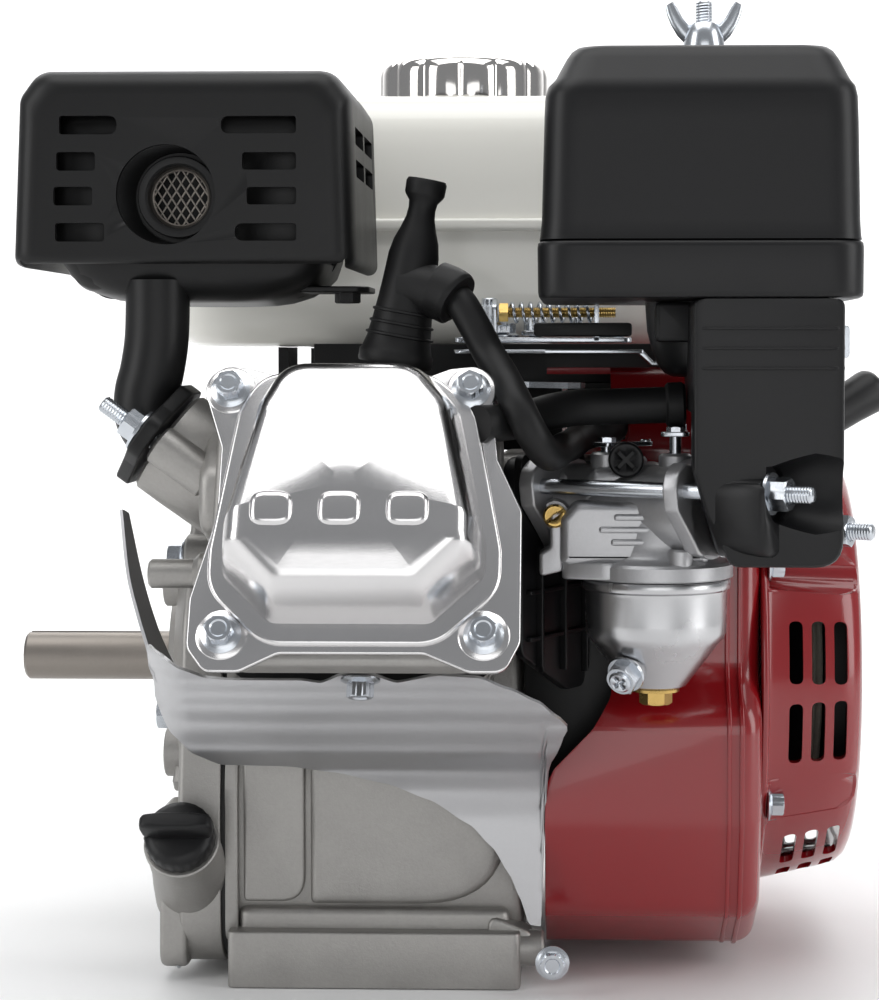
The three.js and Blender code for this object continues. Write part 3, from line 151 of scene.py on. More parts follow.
def from_bmesh(name, bm, frame_matrix=UPRIGHT, smooth=35):
    bmesh.ops.remove_doubles(bm, verts=bm.verts, dist=1e-4)
    bmesh.ops.recalc_face_normals(bm, faces=bm.faces)
    mesh = bpy.data.meshes.new(name)
    bm.to_mesh(mesh)
    bm.free()
    mesh.transform(Matrix.Diagonal((MM, MM, MM, 1)) @ frame_matrix)
    obj = bpy.data.objects.new(name, mesh)
    bpy.context.scene.collection.objects.link(obj)
    return shade(obj, smooth)


def loft_into(bm, rings, loop=False):
    rows = [[bm.verts.new(p) for p in ring] for ring in rings]
    n = len(rows[0])
    for low, high in zip(rows, rows[1:] + (rows[:1] if loop else [])):
        for i in range(n):
            bm.faces.new((low[i], low[(i + 1) % n], high[(i + 1) % n], high[i]))
    if not loop:
        bm.faces.new(rows[0][::-1])
        bm.faces.new(rows[-1])


def loft(name, rings, frame_matrix=UPRIGHT, smooth=35, loop=False):
    """Rings of points joined by quads; the ends are closed, or with loop the last ring meets the first."""
    bm = bmesh.new()
    loft_into(bm, rings, loop)
    return from_bmesh(name, bm, frame_matrix, smooth)


def slab(name, frame_matrix, outline, low, high, rim=0.6, rim_low=None, steps=4, smooth=35):
    """An outline pushed from low to high, each rim rounded over."""
    rim_low = rim if rim_low is None else rim_low
    rings = []
    for k in range(steps + 1):
        a = math.pi / 2 * k / steps
        if rim_low > 0:
            rings.append([(x, y, low + rim_low * (1 - math.sin(a)))
                          for x, y in inset(outline, rim_low * (1 - math.cos(a)))])
    rings.reverse()
    if not rings:
        rings.append([(x, y, low) for x, y in outline])
    for k in range(steps + 1):
        a = math.pi / 2 * k / steps
        if rim > 0:
            rings.append([(x, y, high - rim * (1 - math.sin(a)))
                          for x, y in inset(outline, rim * (1 - math.cos(a)))])
    if rim <= 0:
        rings.append([(x, y, high) for x, y in outline])
    return loft(name, rings, frame_matrix, smooth)


def turned(name, frame_matrix, profile, sides=64, smooth=35, loop=False):
    """A profile of (radius, height) points turned round the frame's z axis."""
    rings = [[(max(r, 1e-3) * math.cos(2 * math.pi * i / sides), max(r, 1e-3) * math.sin(2 * math.pi * i / sides), z)
              for i in range(sides)] for r, z in profile]
    return loft(name, rings, frame_matrix, smooth, loop)


def along(start, end):
    d = Vector(end) - Vector(start)
    side = (1, 0, 0) if abs(d.normalized().x) < 0.9 else (0, 1, 0)
    return frame_at(start, d, side), d.length


def rod(name, start, end, radius, sides=32, chamfer=0.4, end_radius=None):
    f, length = along(start, end)
    r1 = radius if end_radius is None else end_radius
    c = chamfer
    profile = [(0, 0), (radius - c, 0), (radius, c), (r1, length - c), (r1 - c, length), (0, length)]
    return turned(name, f, profile, sides)


def smooth_path(points, steps):
    """Even points on a smooth curve through the given ones."""
    pts = [Vector(p) for p in points]
    pts = [pts[0] * 2 - pts[1], *pts, pts[-1] * 2 - pts[-2]]
    dense = []
    for i in range(1, len(pts) - 2):
        a, b, c, d = pts[i - 1:i + 3]
        for k in range(16):
            t = k / 16
            dense.append(0.5 * (2 * b + (c - a) * t + (2 * a - 5 * b + 4 * c - d) * t * t
                                + (3 * b - a - 3 * c + d) * t ** 3))
    dense.append(pts[-2])
    lengths = [0.0]
    for p, q in zip(dense, dense[1:]):
        lengths.append(lengths[-1] + (q - p).length)
    out, j = [], 0
    for k in range(steps + 1):
        want = lengths[-1] * k / steps
        while j < len(lengths) - 2 and lengths[j + 1] < want:
            j += 1
        t = (want - lengths[j]) / max(1e-9, lengths[j + 1] - lengths[j])
        out.append(dense[j].lerp(dense[j + 1], t))
    return out


def tube(name, points, radius, steps=60, sides=28, smooth=60, straight=False):
    """A round section carried along a smooth path without twisting. radius may be a function of 0..1."""
    path = [Vector(p) for p in points] if straight else smooth_path(points, steps)
    normal = (path[1] - path[0]).orthogonal().normalized()
    rings = []
    for i, p in enumerate(path):
        t = (path[min(i + 1, len(path) - 1)] - path[max(i - 1, 0)]).normalized()
        normal = (normal - t * normal.dot(t)).normalized()
        other = t.cross(normal)
        r = radius(i / (len(path) - 1)) if callable(radius) else radius
        turns = [2 * math.pi * k / sides for k in range(sides)]
        rings.append([p + normal * (r * math.cos(a)) + other * (r * math.sin(a)) for a in turns])
    return loft(name, rings, UPRIGHT, smooth)


# %% Joining, cutting, edges
def apply_modifiers(obj):
    graph = bpy.context.evaluated_depsgraph_get()
    mesh = bpy.data.meshes.new_from_object(obj.evaluated_get(graph))
    old = obj.data
    obj.modifiers.clear()
    obj.data = mesh
    bpy.data.meshes.remove(old)
    return obj


def merged(name, objs):
    """Several pieces as one mesh, each keeping its own closed skin."""
    first, *rest = objs
    bm = bmesh.new()
    for o in objs:
        bm.from_mesh(o.data)
    bm.to_mesh(first.data)
    bm.free()
    for o in rest:
        mesh = o.data
        bpy.data.objects.remove(o)
        bpy.data.meshes.remove(mesh)
    first.name = name
    return first


def boolean(obj, others, operation="DIFFERENCE"):
    tool = merged("tool", list(others)) if len(others) > 1 else others[0]
    mod = obj.modifiers.new("cut", "BOOLEAN")
    mod.operation, mod.object, mod.solver = operation, tool, "EXACT"
    apply_modifiers(obj)
    mesh = tool.data
    bpy.data.objects.remove(tool)
    bpy.data.meshes.remove(mesh)
    return obj


def carve(obj, *tools):
    return boolean(obj, tools)


def soften(obj, width=0.5, segments=2, angle=40, smooth=35):
    mod = obj.modifiers.new("edge", "BEVEL")
    mod.width, mod.segments, mod.limit_method = width * MM, segments, "ANGLE"
    mod.angle_limit = math.radians(angle)
    mod.use_clamp_overlap = True
    mod.miter_outer = "MITER_ARC"
    apply_modifiers(obj)
    return shade(obj, smooth)


PIECES = []


def place(obj, body, slot_name, material, *nodes):
    """The piece gets its finish, its body and the solid nodes that it stands for."""
    obj.data.materials.clear()
    obj.data.materials.append(material)
    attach(obj, body)
    if nodes:
        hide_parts(*nodes)
    PIECES.append(obj)
    return obj


print("building tools ready")

# %% [markdown]
# ## Finishes
# Most of what tells die-cast from plate and plastic from paint is how the gloss varies, so two small effects are
# shared: a mottle, which is a slow change of tone and gloss as left by handling and casting flow, and a grain, a
# fine height for sand-like or moulded texture. Each only hands out varying values; the shader stays in the material.
# %% Shared effects
def new_group(name, inputs, outputs):
    group = bpy.data.node_groups.new(name, "ShaderNodeTree")
    for label, default in inputs:
        socket = group.interface.new_socket(label, in_out="INPUT", socket_type="NodeSocketFloat")
        socket.default_value = default
    for label in outputs:
        group.interface.new_socket(label, in_out="OUTPUT", socket_type="NodeSocketFloat")
    return group, group.nodes.new("NodeGroupInput"), group.nodes.new("NodeGroupOutput")


def math_node(tree, operation, a, b, clamp=False):
    node = tree.nodes.new("ShaderNodeMath")
    node.operation, node.use_clamp = operation, clamp
    for socket, value in zip(node.inputs, (a, b)):
        if isinstance(value, bpy.types.NodeSocket):
            tree.links.new(value, socket)
        else:
            socket.default_value = value
    return node.outputs[0]


def noise(tree, scale, detail, vector, roughness=0.55):
    node = tree.nodes.new("ShaderNodeTexNoise")
    node.inputs["Detail"].default_value = detail
    node.inputs["Roughness"].default_value = roughness
    tree.links.new(vector, node.inputs["Vector"])
    if isinstance(scale, bpy.types.NodeSocket):
        tree.links.new(scale, node.inputs["Scale"])
    else:
        node.inputs["Scale"].default_value = scale
    return node.outputs["Fac"]


def object_place(tree):
    return tree.nodes.new("ShaderNodeTexCoord").outputs["Object"]


def make_mottle():
    group, given, out = new_group("mottle", [("Scale", 40), ("Amount", 0.2)], ["Tone", "Gloss"])
    where = object_place(group)
    slow = noise(group, given.outputs["Scale"], 4, where)
    fine = noise(group, 900, 2, where)
    swing = math_node(group, "MULTIPLY", math_node(group, "SUBTRACT", slow, 0.5), given.outputs["Amount"])
    speck = math_node(group, "MULTIPLY", math_node(group, "SUBTRACT", fine, 0.5),
                      math_node(group, "MULTIPLY", given.outputs["Amount"], 0.4))
    group.links.new(math_node(group, "ADD", math_node(group, "ADD", swing, speck), 1.0), out.inputs["Tone"])
    group.links.new(math_node(group, "ADD", math_node(group, "MULTIPLY", swing, 1.4), 1.0), out.inputs["Gloss"])
    return group


def make_grain():
    group, given, out = new_group("grain", [("Scale", 1200), ("Coarse", 0.3)], ["Height"])
    where = object_place(group)
    fine = noise(group, given.outputs["Scale"], 3, where, 0.6)
    wide = noise(group, 130, 2, where)
    group.links.new(math_node(group, "ADD", fine, math_node(group, "MULTIPLY", wide, given.outputs["Coarse"])),
                    out.inputs["Height"])
    return group


MOTTLE, GRAIN = make_mottle(), make_grain()
print("shared effects:", MOTTLE.name, GRAIN.name)


# %% Materials
def finish(name, color, metallic=0.0, roughness=0.5, mottle=0.12, mottle_scale=40, grain=0.0, grain_scale=1200,
           coarse=0.3, coat=0.0, coat_roughness=0.1, specular=0.5):
    """One painted, plated, cast or moulded skin. grain is the height of its texture in hundredths of a millimetre."""
    mat = bpy.data.materials.new(name)
    mat.use_nodes = True
    tree = mat.node_tree
    shader = tree.nodes["Principled BSDF"]
    shader.inputs["Metallic"].default_value = metallic
    shader.inputs["Coat Weight"].default_value = coat
    shader.inputs["Coat Roughness"].default_value = coat_roughness
    shader.inputs["Specular IOR Level"].default_value = specular
    effect = tree.nodes.new("ShaderNodeGroup")
    effect.node_tree = MOTTLE
    effect.inputs["Scale"].default_value = mottle_scale
    effect.inputs["Amount"].default_value = mottle
    tint = tree.nodes.new("ShaderNodeVectorMath")
    tint.operation = "SCALE"
    tint.inputs[0].default_value = color
    tree.links.new(effect.outputs["Tone"], tint.inputs["Scale"])
    tree.links.new(tint.outputs[0], shader.inputs["Base Color"])
    tree.links.new(math_node(tree, "MULTIPLY", effect.outputs["Gloss"], roughness, True), shader.inputs["Roughness"])
    if grain:
        texture = tree.nodes.new("ShaderNodeGroup")
        texture.node_tree = GRAIN
        texture.inputs["Scale"].default_value = grain_scale
        texture.inputs["Coarse"].default_value = coarse
        bump = tree.nodes.new("ShaderNodeBump")
        bump.inputs["Distance"].default_value = grain * 1e-5
        tree.links.new(texture.outputs["Height"], bump.inputs["Height"])
        tree.links.new(bump.outputs["Normal"], shader.inputs["Normal"])
    return mat


CAST = finish("cast aluminium", (0.35, 0.34, 0.325), 0.8, 0.46, 0.34, 55, 9, 1500, 0.8)
CAST_LIGHT = finish("carburettor casting", (0.47, 0.47, 0.48), 0.8, 0.38, 0.22, 90, 5, 1900, 0.5)
BRIGHT = finish("bright cast cover", (0.72, 0.71, 0.71), 1.0, 0.2, 0.12, 30, 1.6, 2200, 1.4)
BOWL = finish("satin bowl", (0.55, 0.55, 0.56), 1.0, 0.27, 0.1, 60, 2, 2200, 0.6)
SHEET = finish("plated sheet", (0.54, 0.54, 0.55), 1.0, 0.44, 0.12, 30, 1.2, 1800, 0.5)
ZINC = finish("zinc plate", (0.60, 0.63, 0.67), 1.0, 0.24, 0.2, 160, 1.2, 2600, 0.4)
STEEL = finish("machined steel", (0.27, 0.245, 0.22), 0.9, 0.4, 0.2, 60, 1.5, 2600, 0.3)
BRASS = finish("turned brass", (0.56, 0.38, 0.13), 1.0, 0.28, 0.25, 200, 1, 2600, 0.2)
CHROME = finish("chrome rim", (0.70, 0.68, 0.66), 1.0, 0.1, 0.05, 40)
HEAT_BLACK = finish("heat-proof black", (0.006, 0.006, 0.0062), 0.0, 0.42, 0.18, 60, 2.5, 1600, 0.6, specular=0.3)
RED = finish("red enamel", (0.24, 0.005, 0.008), 0.0, 0.25, 0.05, 20, 0, coat=0.6, coat_roughness=0.05)
IVORY = finish("ivory enamel", (0.86, 0.85, 0.79), 0.0, 0.3, 0.03, 20, 0, coat=0.5, coat_roughness=0.08)
PLASTIC = finish("black moulding", (0.0062, 0.0062, 0.0068), 0.0, 0.4, 0.15, 70, 2.4, 2200, 0.3, specular=0.32)
RUBBER = finish("black rubber", (0.007, 0.007, 0.0073), 0.0, 0.5, 0.2, 60, 3, 1800, 0.5, specular=0.28)
FOAM = finish("filter foam", (0.10, 0.085, 0.06), 0.0, 0.95, 0.3, 300, 30, 1600, 0.2)
DARK = finish("inner dark", (0.02, 0.02, 0.02), 0.3, 0.6, 0.2, 80, 3)
ROPE = finish("starter rope", (0.35, 0.33, 0.28), 0.0, 0.85, 0.3, 400, 12, 1400, 0.2)
SLOT_LOOK = {
    "cast_aluminium": CAST, "bright_aluminium": BRIGHT, "bright_sheet": SHEET, "zinc_plated": ZINC,
    "machined_steel": STEEL, "yellow_brass": BRASS, "heat_black": HEAT_BLACK, "red_enamel": RED,
    "ivory_enamel": IVORY, "bright_chrome": CHROME, "black_plastic": PLASTIC, "black_rubber": RUBBER,
    "filter_foam": FOAM,
}
for entry in frame["record"]["subparts"]:
    node = frame["nodes"][entry["node"]]
    node.data.materials.clear()
    node.data.materials.append(SLOT_LOOK[entry["material_slot"]])
    shade(node, 30)
print("finishes:", len(bpy.data.materials))

# %% [markdown]
# ## Stage, light and camera
# A large soft ceiling, a broad panel on each side and a low front fill stand for a product tent: metal needs big
# bright things to reflect and dark gaps between them, or it looks grey. The camera stands 900 mm off, a little to
# the right of the shaft and just below the carburettor's height, as one would look at the head.
# %% Floor, world and lamps
def make_stage():
    bm = bmesh.new()
    profile = [(-1.6, 0.0), (1.0, 0.0), (1.25, 0.03), (1.42, 0.13), (1.5, 0.35), (1.5, 2.6)]
    rows = [[bm.verts.new((x, y, z - 0.0003)) for x in (-3.2, 3.2)] for y, z in profile]
    for a, b in zip(rows, rows[1:]):
        bm.faces.new((a[0], a[1], b[1], b[0]))
    mesh = bpy.data.meshes.new("floor")
    bm.to_mesh(mesh)
    bm.free()
    floor = bpy.data.objects.new("floor", mesh)
    bpy.context.scene.collection.objects.link(floor)
    mat = bpy.data.materials.new("pale floor")
    mat.use_nodes = True
    mat.node_tree.nodes["Principled BSDF"].inputs["Base Color"].default_value = (0.86, 0.86, 0.86, 1)
    mat.node_tree.nodes["Principled BSDF"].inputs["Roughness"].default_value = 0.6
    mesh.materials.append(mat)
    shade(floor, 60)


def lamp(name, place_m, target_m, size, power, shape_y=None, color=(1, 1, 1)):
    data = bpy.data.lights.new(name, "AREA")
    data.shape = "RECTANGLE"
    data.size, data.size_y = size, shape_y or size
    data.energy, data.color = power, color
    obj = bpy.data.objects.new(name, data)
    bpy.context.scene.collection.objects.link(obj)
    obj.location = place_m
    obj.rotation_euler = (Vector(target_m) - Vector(place_m)).to_track_quat("-Z", "Y").to_euler()
    return obj


make_stage()
world = bpy.data.worlds.new("tent")
bpy.context.scene.world = world
world.use_nodes = True
world.node_tree.nodes["Background"].inputs["Color"].default_value = (0.95, 0.97, 1.0, 1)
world.node_tree.nodes["Background"].inputs["Strength"].default_value = 0.3
lamp("ceiling", (0.0, -0.25, 1.25), (0, -0.02, 0.2), 1.3, 9, 0.9)
lamp("left panel", (-1.0, -0.65, 0.55), (0, 0, 0.18), 0.55, 5, 1.0)
lamp("right panel", (1.05, -0.45, 0.5), (0.05, 0, 0.15), 0.5, 5, 1.0)
lamp("front fill", (0.15, -1.45, 0.25), (0.02, 0, 0.16), 1.0, 2.2, 0.5)
lamp("back sweep", (0.0, 0.9, 1.3), (0, 1.4, 0.3), 2.2, 22, 0.8)
scene = bpy.context.scene
scene.view_settings.view_transform = "Standard"
scene.view_settings.look = "None"
scene.view_settings.exposure = 0.0
scene.view_settings.gamma = 1.0

# %% Camera
YAW, PITCH = math.radians(1.69), math.radians(1.82)
lens = bpy.data.cameras.new("camera")
lens.lens, lens.sensor_width, lens.sensor_fit = 82.6, 36, "AUTO"
lens.shift_x, lens.shift_y = -0.068, -0.073
lens.clip_start, lens.clip_end = 0.05, 20
camera = bpy.data.objects.new("camera", lens)
scene.collection.objects.link(camera)
scene.camera = camera
camera.location = Vector((71, -900, 225)) * MM
look = Vector((-math.sin(YAW) * math.cos(PITCH), math.cos(YAW) * math.cos(PITCH), -math.sin(PITCH)))
camera.rotation_euler = look.to_track_quat("-Z", "Y").to_euler()
print("camera looks along", [round(c, 3) for c in look])

# %% [markdown]
# ## Threads, hexagons and flange bolts
# Fasteners are small but they give the eye the scale of the engine. A rolled thread is one ring of points whose
# radius follows a helix; a cold-headed hexagon is a prism whose top corners are cut by a cone. Both come out of the
# same loft with a radius that depends on the angle, which a primitive cylinder could not show.
# %% Fasteners
def threaded(name, f, radius, low, high, pitch=1.0, depth=0.34, sides=24):
    """A threaded rod along the frame's z axis, chamfered at the outer end."""
    rings, per_turn = [], 7
    count = max(8, int((high - low) / pitch * per_turn))
    for k in range(count + 1):
        z = low + (high - low) * k / count
        ring = []
        for i in range(sides):
            a = 2 * math.pi * i / sides
            phase = (z / pitch - i / sides) % 1.0
            r = radius - depth * abs(2 * phase - 1)
            r = min(r, radius - max(0.0, z - (high - 0.8)))
            ring.append((r * math.cos(a), r * math.sin(a), z))
        rings.append(ring)
    return loft(name, rings, f, 50)


def hexagon_radius(angle, flats):
    step = math.pi / 3
    off = (angle % step) - step / 2
    return flats / 2 / math.cos(off)


def hexagon(name, f, flats, low, high, dish=0.5, both=False, sides=72, hole=0.0):
    angles = [2 * math.pi * i / sides for i in range(sides)]
    inner = flats / 2 * 0.985

    def ring(shrink, z, cone=0):
        out = []
        for a in angles:
            r = hexagon_radius(a, flats) - 0.12 if shrink is None else shrink
            dz = cone * max(0.0, (hexagon_radius(a, flats) - inner)) * 0.55
            out.append((r * math.cos(a), r * math.sin(a), z - dz))
        return out
    rings = [ring(inner, low), ring(None, low, -1 if both else 0), ring(None, high, 1), ring(inner, high)]
    if hole:
        rings += [ring(hole + 0.5, high), ring(hole, high - 0.5)]
    elif dish:
        rings += [ring(inner * 0.72, high), ring(inner * 0.6, high - dish), ring(0.01, high - dish)]
    return loft(name, rings, f, 28)


def flange_bolt(name, f, flats=8, skirt=6.4, height=6.8, seat=0.0):
    """The head of a flange bolt on the frame's origin: washer skirt, hexagon, dished top."""
    washer = turned("washer", f, [(skirt - 0.5, seat), (skirt, seat + 0.35), (skirt, seat + 0.9),
                                  (skirt - 1.0, seat + 1.35), (flats / 2 + 0.2, seat + 1.9), (0.01, seat + 1.9)], 48)
    head = hexagon("head", f, flats, seat + 1.2, seat + height)
    return merged(name, [washer, head])


def at(f, x, y, z=0.0):
    return f @ Matrix.Translation((x, y, z))


def turn_z(f, degrees):
    return f @ Matrix.Rotation(math.radians(degrees), 4, "Z")


print("fastener builders ready")

# %% [markdown]
# ## Valve cover
# The brightest part: a pressure-cast cover with a waisted flange, a rounded step, and a dome whose upper half leans
# back towards the plug while the lower half stands square to the cylinder. The dome is a radial loft: every ring is
# the base outline drawn towards the middle, lifted by a wall profile times a crown that falls towards the top.
# %% Valve cover
COVER_V = -8.2
SEAT = 178.6
COVER_FLANGE = [(-50, 40), (-50, 46), (-44, 51), (-36, 50), (-22, 46), (20, 46), (30, 50), (39, 51), (44.5, 46),
                (44.5, 34), (46, 18), (54, 0), (54, -44), (49, -54), (38, -54), (24, -48), (-22, -48), (-34, -54),
                (-45, -54), (-51, -46), (-51, -30), (-44, -2), (-44, 22)]
COVER_STEP = rounded([(-29, 43), (22, 43), (34, 33), (42.6, -14), (42.6, -25), (26, -40.5), (-25, -40.5), (-40.6, -25),
                      (-40.6, -14), (-34, 33)], 11, 10)
COVER_DOME = rounded([(-25, 50), (21, 50), (33.6, 34), (43, -12), (43, -23), (26, -38.8), (-25, -38.8), (-41, -23),
                      (-41, -12), (-32.6, 34)], [15, 15, 14, 10, 7, 6, 6, 7, 10, 14], 10)
VALVE_BOLTS = [(-42, 42), (37, 42), (-40, -42), (42.5, -42)]


def lower_v(points, dv=COVER_V):
    return [(x, y + dv) for x, y in points]


def dome_height(s, v):
    """Height of the dome over its base for a ring drawn in to s, at v up the cover."""
    wall = [(1.0, 0.0), (0.985, 3.0), (0.965, 10.0), (0.94, 17.5), (0.905, 23.0), (0.865, 26.0), (0.82, 27.4),
            (0.77, 27.9), (0.55, 28.2), (0.0, 28.3)]
    for (s0, h0), (s1, h1) in zip(wall, wall[1:]):
        if s >= s1:
            h = h0 + (h1 - h0) * (s0 - s) / (s0 - s1)
            break
    back = max(0.0, min(1.0, (v - 1) / 44))
    crown = 1.0 - 0.44 * (back * back * (3 - 2 * back)) ** 0.9
    front = max(0.0, (-20 - v) / 13)
    return h * crown * (1 - 0.12 * front)


def valve_cover():
    flange = slab("flange", CYLINDER, lower_v(rounded(COVER_FLANGE, 6, 8)), SEAT, SEAT + 2.1, 0.6)
    step = slab("step", CYLINDER, lower_v(inset(COVER_STEP, -5.2)), SEAT + 1, SEAT + 3.6, 1.5,
                0, 6)
    rings = [[(x, y + COVER_V, SEAT + 1) for x, y in COVER_DOME]]
    for s in (1.0, 0.992, 0.985, 0.975, 0.965, 0.955, 0.94, 0.925, 0.905, 0.885, 0.865, 0.845, 0.82, 0.795, 0.77,
              0.74, 0.70, 0.64, 0.55, 0.45, 0.34, 0.22, 0.1):
        ring = []
        for x, y in COVER_DOME:
            px, py = -0.5 + (x + 0.5) * s, -2 + (y + 2) * s
            ring.append((px, py + COVER_V, SEAT + 3.2 + dome_height(s, py)))
        rings.append(ring)
    dome = loft("dome", rings, CYLINDER, 80)
    pads = [turned("pad", at(CYLINDER, x, v + COVER_V, SEAT + 1.5), [(8.4, 0), (8.2, 0.7), (7.6, 1.1), (0, 1.1)], 48)
            for x, v in VALVE_BOLTS]
    ribs = [slab("rib", CYLINDER, lower_v(rounded(rectangle(x, -16.5, x + 14, -4.5), 5, 8)), SEAT + 24, SEAT + 32.6,
                 2.6, 0, 8, 60) for x in (-29.5, -8.5, 12.5)]
    return merged("valve_cover_looks", [flange, step, dome, *pads, *ribs])


cover = place(valve_cover(), "engine_block", "bright_aluminium", BRIGHT, "valve_cover")
for i, (x, v) in enumerate(VALVE_BOLTS):
    seat = turn_z(at(CYLINDER, x, v + COVER_V, SEAT + 2.5), 12 + 23 * i)
    place(flange_bolt(f"valve_bolt_{i + 1}", seat), "engine_block", "zinc_plated", ZINC, f"valve_cover_bolt_{i + 1}")
print("valve cover faces:", len(cover.data.polygons))

# %% [markdown]
# ## Cylinder head
# A sand-coloured die casting behind the cover: a crown with a soft rim, deep cooling fins, the exhaust boss on the
# left, the plug seat on top, the inlet on the right and two round bosses for sheet metal. Each is its own rounded
# body and they simply run into each other, as cast parts do; the seams hide in the corners.
# %% Cylinder head
def cylinder_head():
    parts = []
    crown = [(-46, -59), (49, -59), (49, -5), (43, 12), (43, 38), (-46, 38)]
    parts.append(slab("crown", CYLINDER, rounded(crown, 14, 8), 168.3, 178.2, 2.2, 1.0, 5))
    parts.append(slab("core", CYLINDER, rounded(rectangle(-36, -44, 40, 34), 8, 5), 131.4, 170, 0.5))
    for k, w in enumerate((131.3, 138.6, 145.9, 153.2, 160.5)):
        grow = 0.6 * k
        parts.append(slab("fin", CYLINDER, rounded(rectangle(-46, -46 - grow * 1.5, 46.8, 38), 10, 6), w, w + 2.8,
                          1.0, 1.0, 3))
    parts.append(turned("exhaust", EXHAUST, [(16, -34), (18.4, -30), (18.8, -12), (18.8, -1.6), (17.8, -0.5),
                                             (0, -0.5)], 48))
    for t in (-20, 20):
        parts.append(rod("ear", EXHAUST @ Vector((t, 0, -22)), EXHAUST @ Vector((t, 0, -0.5)), 6.8, 32, 0.9))
    parts.append(turned("plug_seat", PLUG, [(19, -26), (16, -12), (14.8, -1.4), (13.8, -0.5), (0, -0.5)], 48))
    inlet = slab("inlet", frame_at((59, -111, 154), (0, 0, 1), (1, 0, 0)), rounded(rectangle(-14, -36, 12, 36), 5, 4),
                 0.5, 37, 3)
    parts.append(carve(inlet, slab("face", PORT, rectangle(-60, -60, 60, 60), -104.2, 0, 0)))
    parts.append(rod("left_boss", (-40, -142, 152), (-70.6, -142, 152), 4.9, 32, 0.9))
    parts.append(rod("left_boss_root", (-30, -142, 152), (-56, -142, 152), 9, 32, 2.5, 7))
    parts.append(rod("baffle_boss", (0.5, -150, 138), (0.5, -150, 121.4), 6.4, 32, 1.0))
    parts.append(slab("left_flank", SIDE, rounded([(-158, 168), (-118, 152), (-104, 190), (-130, 205), (-158, 186)],
                                                 9, 6), -52, -36, 4))
    return merged("cylinder_head_looks", parts)


place(cylinder_head(), "engine_block", "cast_aluminium", CAST, "cylinder_head")
gasket = slab("head_gasket_looks", CYLINDER, rounded(rectangle(-45, -50, 44, 41), 10, 6), 130.05, 130.85, 0.1)
place(gasket, "engine_block", "heat_black", HEAT_BLACK, "head_gasket")
print("head done")

# %% [markdown]
# ## Crankcase and base
# One die casting holds the crank, the leaning barrel and the foot. Its front wall shows a flat rib along the joint
# face, a shallow raised panel with a groove, a swelling over the crank webs, and a machined foot with two slots.
# The parts are stacked with soft rims; the foot is cut square and only broken at its edges, since it is milled.
# %% Crankcase
def crankcase():
    walls = slab("walls", SIDE, rounded([(-85, 12), (88, 12), (88, 60), (82, 130), (44, 182), (-44, 182), (-78, 128),
                                         (-85, 66)], 22, 8), -54, 52, 3.5, 0.6, 5)
    parts = [walls]
    parts.append(slab("joint_rib", SIDE, rounded([(-88.5, 14), (-60, 14), (-60, 120), (-80, 120), (-88.5, 70)], 8, 5),
                      -54, -49.4, 1.2, 0.2, 4))
    parts.append(slab("panel", FRONT, rounded(rectangle(-47.6, 29, -25.5, 84), [2, 9, 2, 2], 8), 80, 87.2, 1.3, 0, 5))
    swell = [[(x, y, z) for x, y in rounded(rectangle(-23.5 + d * 0.6, 28.5 + d * 0.5, 47 - d, 92 - d),
                                            [2, 30, 10, 10], 10)]
             for z, d in ((80, 0), (85.6, 0), (87.4, 0.5), (88.6, 1.8), (89.2, 4), (89.6, 8), (89.7, 20))]
    parts.append(loft("swell", swell, FRONT, 60))
    foot = slab("foot", UPRIGHT, rounded(rectangle(-52.5, -95, 51.7, 97), 3, 4), 0, 20, 0.8, 0.5, 3)
    slots = [slab("slot", UPRIGHT, rounded(rectangle(sx * 37.75 - 8, y - 4.5, sx * 37.75 + 8, y + 4.5), 4.4, 6), -3,
                  24, 0) for sx in (-1, 1) for y in (-81, 81)]
    foot = carve(foot, *slots, slab("lap", UPRIGHT, rectangle(-44.5, -69, 44.5, 71), -2, 8, 0))
    parts.append(foot)
    parts.append(slab("foot_step", UPRIGHT, rounded(rectangle(-49.5, -88.4, 48, 90), 5, 4), 16, 27, 3.0, 0, 5))
    parts.append(rod("boss", (48, -86, 13), (60, -86, 13), 6.4, 32, 0.8))
    parts.append(slab("boss_web", FRONT, rounded([(40, 6), (56, 7), (56, 19), (40, 26)], 4, 4), 78, 90, 1.4))
    parts.append(turned("barrel", CYLINDER, [(42, 70), (42, 129.6), (0, 129.6)], 64))
    for w in (92, 100, 108, 116):
        parts.append(slab("fin", CYLINDER, rounded(rectangle(-47, -46, 43, 46), 12, 6), w, w + 2.6, 0.9, 0.9, 3))
    parts.append(slab("deck", CYLINDER, rounded(rectangle(-46, -48, 43, 45), 12, 6), 123.6, 129.6, 0.8, 0.8, 3))
    parts.append(rod("hub", (50, 0, CRANK_Z), (58.5, 0, CRANK_Z), 30, 64, 1))
    return merged("crankcase_looks", parts)


place(crankcase(), "engine_block", "cast_aluminium", CAST, "crankcase")

# %% [markdown]
# ## Drive end of the crankshaft
# The shaft that drives a pump or a pulley is ground, so it is turned here with many sides, keyed along its top and
# tapped at the end. Inside the case the same forging swells to its journal, timing gear and crank web.
# %% Drive shaft
DRIVEN = frame_at((0, 0, CRANK_Z), (-1, 0, 0), (0, 1, 0))


